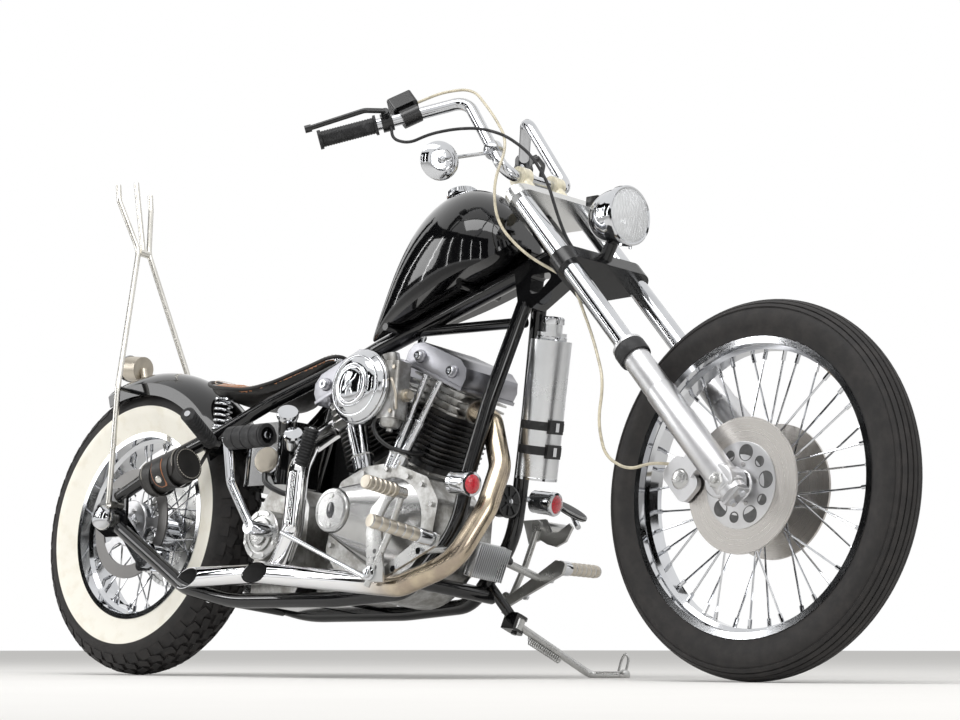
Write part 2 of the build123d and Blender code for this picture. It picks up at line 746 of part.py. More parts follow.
seat_side = make_face(seat_curve(0) + seat_curve(seat_thickness) + [
    Line(end, (end[0], end[1] - seat_thickness)) for end in (seat_line[0], seat_line[3])])
seat_plan = make_hull((Pos(330, 0) * Circle(seat_half) + Pos(544, 0) * Circle(38)).edges())
seat = across(seat_side, -140, 140) & (Pos(0, 0, 500) * extrude(seat_plan, amount=300))


def seat_spring(side):
    return cope(upright(318, side * 98, 536, 602.6, 17), frame_stays[side])


seat_springs = [seat_spring(side) for side in sides]

# Oil tank, a horseshoe round the seat post
oil_plan = fillet(Rectangle(166, 220).vertices(), 40) - Pos(60, 0) * Rectangle(80, 2 * tube_radius + 12)
oil_tank = Pos(483, 0, 400) * extrude(oil_plan, amount=138)
oil_tank += rod((530, -90, 510), (560, -122, 546), 20)

# Rear fender, round the tyre from behind the seat to behind the sissy bar
fender_radius = rear_tyre_radius + fender_gap
fender_start = 26
fender_end = 112


def fender_section(inset):
    half = fender_half - inset
    top = fender_radius + fender_thickness - inset
    return make_face([
        ThreePointArc((-half, top - 38), (0, top), (half, top - 38)),
        Line((half, top - 38), (half, top - 66)),
        Line((half, top - 66), (-half, top - 66)),
        Line((-half, top - 66), (-half, top - 38)),
    ])


fender_face = fender_section(0) - fender_section(fender_thickness) - Pos(0, fender_radius - 63) * Rectangle(
    2 * fender_half - 2 * fender_thickness, 8)
fender_ring = revolve(Rot(Y=90 - fender_start) * (Plane.YZ * fender_face), Axis.Y, fender_start - fender_end)
rear_fender = Pos(0, 0, rear_axle_height) * fender_ring

# Tail lamp and plate bracket on the fender's end
tail_angle = math.radians(104)
tail_seat = (math.cos(tail_angle) * (fender_radius + 34) - 6, 0,
             rear_axle_height + math.sin(tail_angle) * (fender_radius + 34))
tail_lamp = rod(tail_seat, (tail_seat[0] - 52, 0, tail_seat[2] + 6), 30)
tail_lamp += rod(tail_seat, (tail_seat[0] + 14, 0, tail_seat[2] - 40), 8)
tail_lamp -= y_disc(0, rear_axle_height, fender_radius + fender_thickness, -60, 60)

# Sissy bar: a rod up each side, joined at the top and forked into prongs
sissy_radius = 6.5
sissy_side = [(8, 143, 372), (-35, 122, 656), (-152, 16, 1018), (-206, 50, 1142)]


def sissy_rod(side):
    end = (-216, side * 50, 1182)
    bar = bent_tube(on_side(sissy_side, side) + [end], sissy_radius, [120, 60, 20])
    foot_x, foot_y, foot_z = sissy_side[0]
    plate_face = rail_y + axle_plate_thickness / 2
    return bar + rod((foot_x, side * plate_face, foot_z), (foot_x, side * foot_y, foot_z), 9)


sissy_bar = sissy_rod(right) + sissy_rod(left)
sissy_bar += rod((-152, -14, 1016), (-152, 14, 1016), 9)
sissy_bar += rod((-152, 0, 1012), (-212, 0, 1200), sissy_radius)

# Passenger pegs on the stays, tool roll hung from the right one
peg_line = [(322, 126, 500), (366, 238, 540)]


def passenger_peg(side):
    start, end = on_side(peg_line, side)
    clamp = rod((316, side * 106, 502), start, 12)
    return cope(rod(start, end, 15) + clamp, frame_stays[side])


passenger_pegs = [passenger_peg(side) for side in sides]
tool_roll = rod((196, -178, 412), (316, -178, 444), 38)


def roll_strap(x):
    # a band round the roll and over the stay, seen along X
    roll = (-178, 412 + (x - 196) * 32 / 120)
    tube = (-117.8 + (x - 230) * 0.097, 484.5 + (x - 230) * 0.369)
    outer = make_hull((Pos(*roll) * Circle(42) + Pos(*tube) * Circle(19)).edges())
    inner = make_hull((Pos(*roll) * Circle(39.5) + Pos(*tube) * Circle(16.5)).edges())
    band = extrude(Plane.YZ.offset(x) * (outer - inner), amount=12)
    return cope(band, frame_stays[right], tool_roll)


roll_straps = [roll_strap(x) for x in (222, 280)]

# Rear axle and brake
rear_axle = rod((0, -rear_axle_half, rear_axle_height), (0, rear_axle_half, rear_axle_height), axle_radius)
for side in sides:
    inner, outer = side * (rail_y + 4), side * (rail_y + 20)
    rear_axle += rod((0, inner, rear_axle_height), (0, outer, rear_axle_height), 17)
disc_inner = rear_hub_half - calliper_gap
disc_outer = rear_hub_half + disc_thickness + calliper_gap
rear_calliper_spot = (92, rear_axle_height - 84)
calliper_face = fillet((Pos(*rear_calliper_spot) * Rectangle(64, 62)).vertices(), 16)
calliper_body = across(calliper_face, -disc_outer - 16, 12 - disc_inner)
calliper_body -= y_disc(0, rear_axle_height, disc_radius + calliper_gap, -disc_outer, -disc_inner)
bracket_ends = Pos(0, rear_axle_height) * Circle(22) + Pos(*rear_calliper_spot) * Circle(24)
bracket_face = make_hull(bracket_ends.edges())
calliper_bracket = across(bracket_face, -disc_outer - 24, -disc_outer - 16)
calliper_bracket += y_disc(0, rear_axle_height, 20, axle_plate_thickness / 2 - rail_y, -disc_outer - 24)
rear_brake = calliper_body + calliper_bracket - rear_axle

# Foot controls
control_plate = [(930, 176), (948, 168), (1104, 238), (1112, 262), (1084, 268)]

plate_y = 191


def foot_control(side):
    low, high = sorted((side * (plate_y - 4), side * (plate_y + 4)))
    shape = across(side_polygon(control_plate, 7), low, high)
    shape += rod((1034, side * 86, 250), (1040, side * plate_y, 231), 8)
    shape += rod((1090, side * plate_y, 252), (1066, side * 340, 266), 13)
    shape += rod((948, side * plate_y, 192), (948, side * (plate_y + 20), 192), 12)
    shape += bent_tube([(936, side * (plate_y + 14), 160), (985, side * (plate_y + 14), 262),
                       (1012, side * (plate_y + 14), 342)], 7, [60])
    shape += rod((1012, side * (plate_y + 8), 344), (1008, side * (plate_y + 110), 350), 12)
    return cope(shape, frame_cradles[side])


foot_controls = {side: foot_control(side) for side in sides}
brake_rod = cope(rod((944, -202, 172), (642, -180, 281), 5), foot_controls[right])

# Side stand, on a bracket at the left bend of the cradle
stand_pivot = Vector(1035, 138, 128)
stand_axis = Vector(0.10, 0.25, 0.96).normalized()
stand_radius = 8


def ground_height(y, above):
    return y * math.tan(lean) + above / math.cos(lean)


stand_path = [tuple(stand_pivot), (1106, 300, ground_height(300, 6)), (1172, 330, ground_height(330, 6))]
ground_cut = Rot(X=lean_angle) * Pos(1000, 0, -100) * Box(1200, 1200, 200)
stand_barrel_radius = 15
stand_barrel_half = 12
stand_pin_radius = 6
stand_seat = Plane(origin=stand_pivot, x_dir=(0, 0.968, -0.252), z_dir=stand_axis)
side_stand = bent_tube(stand_path, stand_radius, [30])
side_stand += stand_seat * Cylinder(stand_barrel_radius, 2 * stand_barrel_half)
side_stand += Pos(1172, 330, ground_height(330, 6)) * Sphere(12)
side_stand -= stand_seat * Cylinder(stand_pin_radius + running_gap, 60)
side_stand -= ground_cut

# Fork of the stand's hinge: two cheeks, a web inboard of the barrel and a pin
cheek = 6
web = 8
slot_half = stand_barrel_half + running_gap
slot_start = -stand_barrel_radius - 2
clevis_plan = make_hull((Circle(18) + Pos(slot_start - web / 2, 0) * Rectangle(web, 34)).edges())
clevis = stand_seat * Pos(0, 0, -slot_half - cheek) * extrude(clevis_plan, amount=2 * (slot_half + cheek))
clevis += rod((985, 92, 210), (1033, 117, 146), 11)
clevis -= stand_seat * Pos(slot_start + 40, 0, 0) * Box(80, 60, 2 * slot_half)
clevis += stand_seat * Cylinder(stand_pin_radius, 2 * (slot_half + cheek) + 8)
stand_bracket = cope(clevis, frame_cradles[left])

# Fuel bottle strapped to the front of the left downtube
bottle_radius = 42
bottle_low = Vector(1128, 59, 412)
bottle_high = Vector(1175, 19, 690)
bottle_up = (bottle_high - bottle_low).normalized()
fuel_bottle = rod(bottle_low, bottle_high, bottle_radius) + rod(bottle_high, bottle_high + bottle_up * 16, 30)
fuel_bottle += rod(bottle_high + bottle_up * 16, bottle_high + bottle_up * 40, 20)

# Marker lamps, horn and regulator
lamp_lines = ((right, (1084, 135, 375), (1138, 140, 368)), (left, (1062, 130, 382), (1114, 140, 375)))
marker_lamps = []
marker_lenses = []
for side, back, front in lamp_lines:
    start, end = on_side([back, front], side)
    along = (Vector(*end) - Vector(*start)).normalized()
    marker_lamps.append(rod(start, end, 23) + rod(start, (1066, side * 84, 384), 6) - frame_cradles[side])
    marker_lenses.append(rod(Vector(*end) + along * 0.2, Vector(*end) + along * 7, 19))
horn = rod((1066, 20, 362), (1092, 20, 362), 31)
horn += cope(rod((1079, 20, 362), (1065, 81, 366), 6), frame_cradles[left])
regulator = Location((1066, 0, 236)) * Rot(Y=18) * Box(26, 92, 72)

# Ties from the frame to what it carries
fender_ties = [((271, fender_half - 8, 497), (271, 114, 497), 8),
               ((-35, fender_half - 8, 651), (-35, 122, 651), 5)]
ties = [cope(rod((1050, -86, 250), (1050, 86, 250), 8), regulator, *frame_cradles.values()),
        cope(rod((547, 0, 470), (500, 0, 470), 9), frame_backbone, oil_tank)]
for reach in (80, 300):
    for side in sides:
        saddle = tank_place * rod((reach, 0, -4), (reach, side * 60, -4), 8)
        ties.append(cope(saddle, frame_backbone, fuel_tank))
for start, end, radius in fender_ties:
    for side in sides:
        tie = rod(*on_side([start, end], side), radius)
        ties.append(cope(tie, rear_fender, frame_stays[side], sissy_bar))

nodes = {}
for name, shape in fork_nodes.items():
    nodes[name] = (shape, fork_place)
front_place = fork_place * Pos(fork_offset, 0, 0)
rear_place = Pos(0, 0, rear_axle_height)
for name, shape in {"front_wheel": front_wheel, "front_tyre": front_tyre, "front_discs": front_discs}.items():
    nodes[name] = (shape, front_place)
for name, shape in {"rear_wheel": rear_wheel, "rear_tyre": rear_tyre, "sprocket": sprocket,
                    "rear_disc": rear_disc}.items():
    nodes[name] = (shape, rear_place)

frame_nodes = {
    "frame_backbone": frame_backbone,
    "frame_cradle_right": frame_cradles[right],
    "frame_cradle_left": frame_cradles[left],
    "frame_stays": list(frame_stays.values()),
    "frame_cross": frame_cross + [stand_bracket] + ties,
    "crankcase": crankcase,
    "cylinders": cylinders,
    "cylinder_heads": heads,
    "rocker_boxes": rocker_boxes,
    "cam_cover": cam_cover,
    "pushrods": pushrods,
    "carburettor": carburettor,
    "air_cleaner": air_cleaner,
    "gearbox": [gearbox, front_sprocket],
    "kick_starter": [kick_starter, kick_pedal],
    "primary_case": primary_case,
    "drive_chain": drive_chain,
    "exhaust_front": exhaust_front,
    "exhaust_rear": exhaust_rear,
    "fuel_tank": [fuel_tank, fuel_cap],
    "seat": seat,
    "seat_springs": seat_springs,
    "oil_tank": oil_tank,
    "rear_fender": rear_fender,
    "tail_lamp": tail_lamp,
    "sissy_bar": sissy_bar,
    "passenger_pegs": passenger_pegs,
    "tool_roll": [tool_roll] + roll_straps,
    "rear_axle": rear_axle,
    "rear_brake": [rear_brake, brake_rod],
    "foot_controls": list(foot_controls.values()),
    "side_stand": side_stand,
    "fuel_bottle": fuel_bottle,
    "marker_lamps": marker_lamps,
    "marker_lenses": marker_lenses,
    "horn": horn,
    "regulator": regulator,
}
for name, shape in frame_nodes.items():
    nodes[name] = (shape, Pos(0, 0, 0))

# Leaned on its stand, with the origin on the ground under the middle of its length and width
leaned = {}
for name, (shape, place) in nodes.items():
    solids = shape if isinstance(shape, list) else [shape]
    leaned[name] = Rot(X=-lean_angle) * place * Compound(children=solids)
boxes = [shape.bounding_box() for shape in leaned.values()]
low_corner = [min(tuple(box.min)[axis] for box in boxes) for axis in range(3)]
high_corner = [max(tuple(box.max)[axis] for box in boxes) for axis in range(3)]
origin = Pos(-(low_corner[0] + high_corner[0]) / 2, -(low_corner[1] + high_corner[1]) / 2, -low_corner[2])

os.makedirs("parts", exist_ok=True)
for name, shape in leaned.items():
    export_step(origin * shape, f"parts/{name}.step")
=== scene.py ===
import bpy, bmesh, json, math, random
from mathutils import Matrix, Vector, noise


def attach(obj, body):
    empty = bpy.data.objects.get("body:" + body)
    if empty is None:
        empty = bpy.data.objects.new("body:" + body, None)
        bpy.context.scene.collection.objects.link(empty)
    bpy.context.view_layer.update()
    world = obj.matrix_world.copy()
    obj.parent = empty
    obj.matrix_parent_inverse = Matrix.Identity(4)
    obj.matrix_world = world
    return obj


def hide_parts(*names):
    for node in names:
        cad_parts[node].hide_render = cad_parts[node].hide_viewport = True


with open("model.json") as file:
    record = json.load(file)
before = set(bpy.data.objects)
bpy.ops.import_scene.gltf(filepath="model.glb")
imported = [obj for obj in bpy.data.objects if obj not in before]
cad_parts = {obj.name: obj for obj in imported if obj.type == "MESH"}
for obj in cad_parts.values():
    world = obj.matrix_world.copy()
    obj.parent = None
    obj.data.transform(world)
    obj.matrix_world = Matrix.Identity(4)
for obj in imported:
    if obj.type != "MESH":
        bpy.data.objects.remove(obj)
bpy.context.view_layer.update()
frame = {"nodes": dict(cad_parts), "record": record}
print("motorcycle loaded, nodes:", len(frame["nodes"]))

# Places
# Millimetres everywhere until a mesh is finished. "bike" is the upright machine measured from the
# ground under the rear axle, "fork" the steered fork with Z up its axis, and each wheel has its own.
mm = 0.001
joints = {joint["name"]: joint for joint in frame["record"]["behaviour"]["joints"]}
leanTurn = Matrix.Rotation(math.radians(-7.12), 4, "X")
rearAxle = Vector(joints["rear_wheel_spin"]["pos_m"]) * 1000
rearAxleHeight = 340.5
bike = Matrix.Translation(rearAxle) @ leanTurn @ Matrix.Translation((0, 0, -rearAxleHeight))
rearWheel = Matrix.Translation(rearAxle) @ leanTurn


def framed(x, y, z, origin):
    turned = Matrix((x, y, z)).transposed().to_4x4()
    return Matrix.Translation(origin) @ turned


steerUp = Vector(joints["steering"]["axis"])
steerSpot = Vector(joints["steering"]["pos_m"]) * 1000
frontAxle = Vector(joints["front_wheel_spin"]["pos_m"]) * 1000
forkOrigin = steerSpot + steerUp * (frontAxle - steerSpot).dot(steerUp)
forkAhead = (frontAxle - forkOrigin).normalized()
fork = framed(forkAhead, steerUp.cross(forkAhead), steerUp, forkOrigin)
frontWheel = framed(forkAhead, steerUp.cross(forkAhead), steerUp, frontAxle)


def seat(base, origin, zDir, xHint=(1, 0, 0)):
    # a frame standing at origin in base, its Z along zDir
    z = Vector(zDir).normalized()
    x = Vector(xHint) - z * Vector(xHint).dot(z)
    x = x.normalized() if x.length > 1e-4 else z.orthogonal().normalized()
    return base @ framed(x, z.cross(x), z, Vector(origin))


# Materials
class Wire:
    # a value in a material's node tree, with ordinary arithmetic
    def __init__(self, finish, socket):
        self.finish, self.socket = finish, socket

    def sum(self, operation, other, turned=False):
        pair = (other, self) if turned else (self, other)
        return self.finish.node("ShaderNodeMath", {"operation": operation}, {0: pair[0], 1: pair[1]})

    def __add__(self, other):
        return self.sum("ADD", other)

    def __radd__(self, other):
        return self.sum("ADD", other)

    def __sub__(self, other):
        return self.sum("SUBTRACT", other)

    def __rsub__(self, other):
        return self.sum("SUBTRACT", other, True)

    def __mul__(self, other):
        return self.sum("MULTIPLY", other)

    def __rmul__(self, other):
        return self.sum("MULTIPLY", other)

    def __truediv__(self, other):
        return self.sum("DIVIDE", other)

    def __pow__(self, other):
        return self.sum("POWER", other)

    def above(self, edge, soft=0.001):
        return self.finish.node("ShaderNodeMapRange", {"interpolation_type": "SMOOTHSTEP"},
                                {"Value": self, "From Min": edge - soft, "From Max": edge + soft})


class Finish:
    # one material: a Principled shader and the nodes that vary it
    def __init__(self, name, colour, rough, metal=0.0, coat=0.0, **fixed):
        self.material = bpy.data.materials.new(name)
        self.material.use_nodes = True
        self.tree = self.material.node_tree
        self.shader = self.tree.nodes["Principled BSDF"]
        self.set("Base Color", (*colour, 1))
        self.set("Roughness", rough)
        self.set("Metallic", metal)
        self.set("Coat Weight", coat)
        for socket, value in fixed.items():
            self.set(socket.replace("_", " "), value)
        self.colour, self.rough = colour, rough
        self.place = self.node("ShaderNodeTexCoord", {}, {}, "Object")

    def set(self, socket, value):
        self.feed(self.shader.inputs[socket], value)

    def feed(self, socket, value):
        if isinstance(value, Wire):
            self.tree.links.new(value.socket, socket)
        else:
            socket.default_value = value

    def node(self, kind, settings, values, out=0):
        made = self.tree.nodes.new(kind)
        for key, value in settings.items():
            setattr(made, key, value)
        for key, value in values.items():
            self.feed(made.inputs[key], value)
        return Wire(self, made.outputs[out])

    def spot(self, stretch=(1, 1, 1), turn=(0, 0, 0)):
        return self.node("ShaderNodeMapping", {}, {"Vector": self.place, "Scale": stretch, "Rotation": turn})

    def grain(self, scale, detail=3.0, stretch=(1, 1, 1), rough=0.55):
        return self.node("ShaderNodeTexNoise", {}, {"Vector": self.spot(stretch), "Scale": scale,
                                                    "Detail": detail, "Roughness": rough})

    def cells(self, scale, stretch=(1, 1, 1), out=0):
        return self.node("ShaderNodeTexVoronoi", {}, {"Vector": self.spot(stretch), "Scale": scale}, out)

    def tint(self, mask, first, second):
        first = first if isinstance(first, Wire) else (*first, 1)
        second = second if isinstance(second, Wire) else (*second, 1)
        return self.node("ShaderNodeMix", {"data_type": "RGBA"}, {0: mask, 6: first, 7: second}, 2)

    def bump(self, height, strength=0.3, distance=0.001):
        self.set("Normal", self.node("ShaderNodeBump", {}, {"Height": height, "Strength": strength,
                                                            "Distance": distance}))

    def along(self, axis, origin=(0, 0, 0)):
        # how far the surface lies along an axis from an origin, in metres
        moved = self.node("ShaderNodeVectorMath", {"operation": "SUBTRACT"}, {0: self.place, 1: tuple(origin)})
        return self.node("ShaderNodeVectorMath", {"operation": "DOT_PRODUCT"}, {0: moved, 1: tuple(axis)}, 1)

    def around(self, axis, origin):
        # how far the surface lies from an axle
        moved = self.node("ShaderNodeVectorMath", {"operation": "SUBTRACT"}, {0: self.place, 1: tuple(origin)})
        crossed = self.node("ShaderNodeVectorMath", {"operation": "CROSS_PRODUCT"}, {0: moved, 1: tuple(axis)})
        return self.node("ShaderNodeVectorMath", {"operation": "LENGTH"}, {0: crossed}, 1)


def blackPaint():
    f = Finish("blackPaint", (0.004, 0.004, 0.0045), 0.16, coat=0.75, Coat_Roughness=0.02, Specular_IOR_Level=0.2)
    smear = f.grain(9, 5)
    f.set("Roughness", smear * 0.1 + 0.05)
    f.set("Base Color", f.tint(f.grain(60, 6).above(0.66, 0.08), (0.0035, 0.0035, 0.004), (0.01, 0.01, 0.01)))
    f.bump(f.grain(420, 2), 0.02, 0.0004)
    return f.material


def polished(name, colour, low, high, scale=14, bumpy=0.0):
    f = Finish(name, colour, low, metal=1.0)
    wear = f.grain(scale, 6)
    f.set("Roughness", wear * (high - low) + low)
    darker = tuple(c * 0.82 for c in colour)
    f.set("Base Color", f.tint(f.grain(scale * 0.7, 4).above(0.6, 0.15), colour, darker))
    if bumpy:
        f.bump(f.grain(900, 4), bumpy, 0.0006)
    return f.material


def castAlloy():
    f = Finish("castAlloy", (0.5, 0.5, 0.49), 0.36, metal=1.0)
    stain = f.grain(22, 8, rough=0.7)
    f.set("Base Color", f.tint(stain.above(0.5, 0.14), (0.58, 0.58, 0.57), (0.3, 0.29, 0.27)))
    f.set("Roughness", stain * 0.25 + 0.22)
    f.bump(f.grain(1300, 3) + stain * 0.6, 0.25, 0.0005)
    return f.material


def blackIron():
    f = Finish("blackIron", (0.016, 0.016, 0.017), 0.42, metal=0.2)
    soot = f.grain(40, 6)
    f.set("Base Color", f.tint(soot.above(0.56, 0.1), (0.012, 0.012, 0.013), (0.05, 0.046, 0.042)))
    f.set("Roughness", soot * 0.3 + 0.25)
    f.bump(f.grain(1500, 2), 0.3, 0.0005)
    return f.material


def rubber(name, colour=(0.02, 0.02, 0.021), rough=0.5):
    f = Finish(name, colour, rough, Specular_IOR_Level=0.35)
    dust = f.grain(70, 6)
    f.set("Base Color", f.tint(dust.above(0.6, 0.12), colour, tuple(c * 2.2 + 0.006 for c in colour)))
    f.set("Roughness", dust * 0.25 + rough - 0.1)
    f.bump(f.grain(1800, 2), 0.2, 0.0003)
    return f.material


def tyreRubber(name, axle, axis, band=None):
    f = Finish(name, (0.022, 0.022, 0.023), 0.62, Specular_IOR_Level=0.3)
    dust = f.grain(34, 7, rough=0.65)
    black = f.tint(dust.above(0.58, 0.3), (0.02, 0.019, 0.019), (0.04, 0.036, 0.034))
    if band:
        reach = f.around(axis, axle)
        white = reach.above(band[0], 0.0006) * (1 - reach.above(band[1], 0.0006))
        cream = f.tint(f.grain(26, 5).above(0.6, 0.14), (0.9, 0.87, 0.78), (0.83, 0.79, 0.68))
        f.set("Base Color", f.tint(white, black, cream))
        f.set("Roughness", 0.62 - white * 0.16)
    else:
        f.set("Base Color", black)
    f.bump(f.grain(700, 3), 0.18, 0.0005)
    return f.material


def leather(name, colour, edge, scale=260):
    f = Finish(name, colour, 0.45)
    pores = f.cells(scale)
    worn = f.grain(16, 6)
    f.set("Base Color", f.tint(worn.above(0.52, 0.2), colour, edge))
    f.set("Roughness", worn * 0.3 + 0.3)
    f.bump(pores + worn * 0.4, 0.35, 0.0006)
    return f.material


def headerChrome():
    # chrome that heat has turned straw near the engine
    f = Finish("headerChrome", (0.86, 0.86, 0.87), 0.08, metal=1.0)
    ahead = f.along((bike.to_3x3() @ Vector((1, 0, 0))), bike @ Vector((0, 0, 0)) * mm)
    heat = ahead.above(0.93, 0.1) + f.grain(12, 4) * 0.16 - 0.08
    straw = f.tint(f.grain(30, 5).above(0.5, 0.2), (0.58, 0.49, 0.36), (0.4, 0.33, 0.26))
    f.set("Base Color", f.tint(heat.above(0.5, 0.5), (0.86, 0.86, 0.87), straw))
    f.set("Roughness", heat.above(0.5, 0.5) * 0.16 + 0.07)
    return f.material


def discSteel(name, axle, axis):
    f = Finish(name, (0.6, 0.6, 0.6), 0.28, metal=1.0)
    reach = f.around(axis, axle)
    ring = f.node("ShaderNodeTexNoise", {"noise_dimensions": "1D"}, {"W": reach * 900, "Scale": 1.0, "Detail": 3})
    f.set("Roughness", ring * 0.25 + 0.18)
    f.set("Base Color", f.tint(ring.above(0.5, 0.3), (0.66, 0.64, 0.61), (0.52, 0.49, 0.46)))
    f.bump(ring, 0.05, 0.0002)
    return f.material


def treesMetal():
    # the lower tree is black, the upper one and the stem nut polished
    f = Finish("treesMetal", (0.6, 0.6, 0.6), 0.2)
    high = f.along(steerUp, forkOrigin * mm).above(0.735, 0.002)
    f.set("Metallic", high)
    f.set("Base Color", f.tint(high, (0.005, 0.005, 0.0055), (0.66, 0.66, 0.65)))
    f.set("Roughness", f.grain(30, 5) * 0.2 + 0.14)
    return f.material


def clearGlass():
    f = Finish("clearGlass", (0.96, 0.97, 0.98), 0.06, Transmission_Weight=0.5, IOR=1.2)
    across = f.along(forkAhead.cross(steerUp), forkOrigin * mm)
    flute = f.node("ShaderNodeMath", {"operation": "PINGPONG"}, {0: across, 1: 0.0035})
    f.bump(flute * 260 + f.grain(40, 2) * 0.2, 0.5, 0.0012)
    return f.material


def redGlass():
    f = Finish("redGlass", (0.75, 0.015, 0.03), 0.08, coat=1.0, Coat_Roughness=0.02)
    cell = f.cells(520)
    f.set("Base Color", f.tint(cell.above(0.45, 0.2), (0.8, 0.02, 0.04), (0.35, 0.0, 0.01)))
    f.bump(cell, 0.5, 0.001)
    return f.material


def plainColour(name, colour, rough, metal=0.0, coat=0.0, grain=60):
    f = Finish(name, colour, rough, metal=metal, coat=coat)
    shade = f.grain(grain, 5)
    f.set("Base Color", f.tint(shade.above(0.55, 0.15), colour, tuple(c * 0.7 for c in colour)))
    f.set("Roughness", shade * 0.16 + max(0.02, rough - 0.08))
    return f.material


wheelAxis = frontWheel.to_3x3() @ Vector((0, 1, 0))
rearAxis = rearWheel.to_3x3() @ Vector((0, 1, 0))
finishes = {
    "paint": blackPaint(),
    "chrome": polished("chromePlate", (0.64, 0.65, 0.67), 0.035, 0.11),
    "nickel": polished("satinNickel", (0.74, 0.72, 0.67), 0.2, 0.34),
    "alloy": polished("polishedAlloy", (0.52, 0.52, 0.515), 0.14, 0.32, 20, 0.05),
    "cast": castAlloy(),
    "steel": polished("zincSteel", (0.56, 0.56, 0.55), 0.2, 0.36, 30, 0.04),
    "brushed": polished("brushedAlloy", (0.76, 0.77, 0.78), 0.2, 0.36, 8, 0.03),
    "brass": polished("wornBrass", (0.57, 0.52, 0.44), 0.28, 0.44, 40, 0.06),
    "ivory": plainColour("creamEnamel", (0.8, 0.74, 0.56), 0.3, coat=0.6),
    "iron": blackIron(),
    "rubber": rubber("blackRubber"),
    "frontTyre": tyreRubber("frontTyreRubber", frontAxle * mm, wheelAxis),
    "rearTyre": tyreRubber("rearTyreRubber", rearAxle * mm, rearAxis, (0.19, 0.277)),
    "tan": leather("tanLeather", (0.55, 0.25, 0.12), (0.36, 0.15, 0.07)),
    "hide": leather("blackHide", (0.014, 0.0135, 0.013), (0.03, 0.028, 0.026), 340),
    "strap": leather("tanStrap", (0.5, 0.2, 0.09), (0.3, 0.12, 0.06), 400),
    "header": headerChrome(),
    "frontDisc": discSteel("frontDiscSteel", frontAxle * mm, wheelAxis),
    # the rear disc's steel is painted much darker than the other steel: painted shade over the whole disc
    "rearDisc": polished("rearDiscShadedSteel", (0.22, 0.215, 0.21), 0.3, 0.5),
    "satin": polished("satinAlloy", (0.66, 0.66, 0.67), 0.3, 0.44, 18, 0.08),
    "rocker": polished("rockerAlloy", (0.36, 0.36, 0.385), 0.24, 0.36, 12, 0.03),
    # flat grey laid where holes would be: painted shade of the holes
    "shade": plainColour("paintedHoleShade", (0.1, 0.1, 0.1), 0.6),
    "trees": treesMetal(),
    "glass": clearGlass(),
    "red": redGlass(),
    "black": plainColour("satinBlack", (0.008, 0.008, 0.0085), 0.3, coat=0.2),
    "hose": plainColour("clearHose", (0.62, 0.56, 0.42), 0.3, coat=0.4),
    "reflector": polished("lampReflector", (0.94, 0.94, 0.95), 0.22, 0.3),
    # near-black: soot inside the exhaust mouths, and painted shade deeper in them and behind the air cleaner dome
    "soot": plainColour("sootAndShadeBlack", (0.004, 0.004, 0.004), 0.9),
    "cream": plainColour("bareOval", (0.03, 0.03, 0.035), 0.2, coat=1.0),
    "white": plainColour("stitchThread", (0.7, 0.66, 0.58), 0.7),
}
print("finishes made:", len(finishes))

# Mesh tools


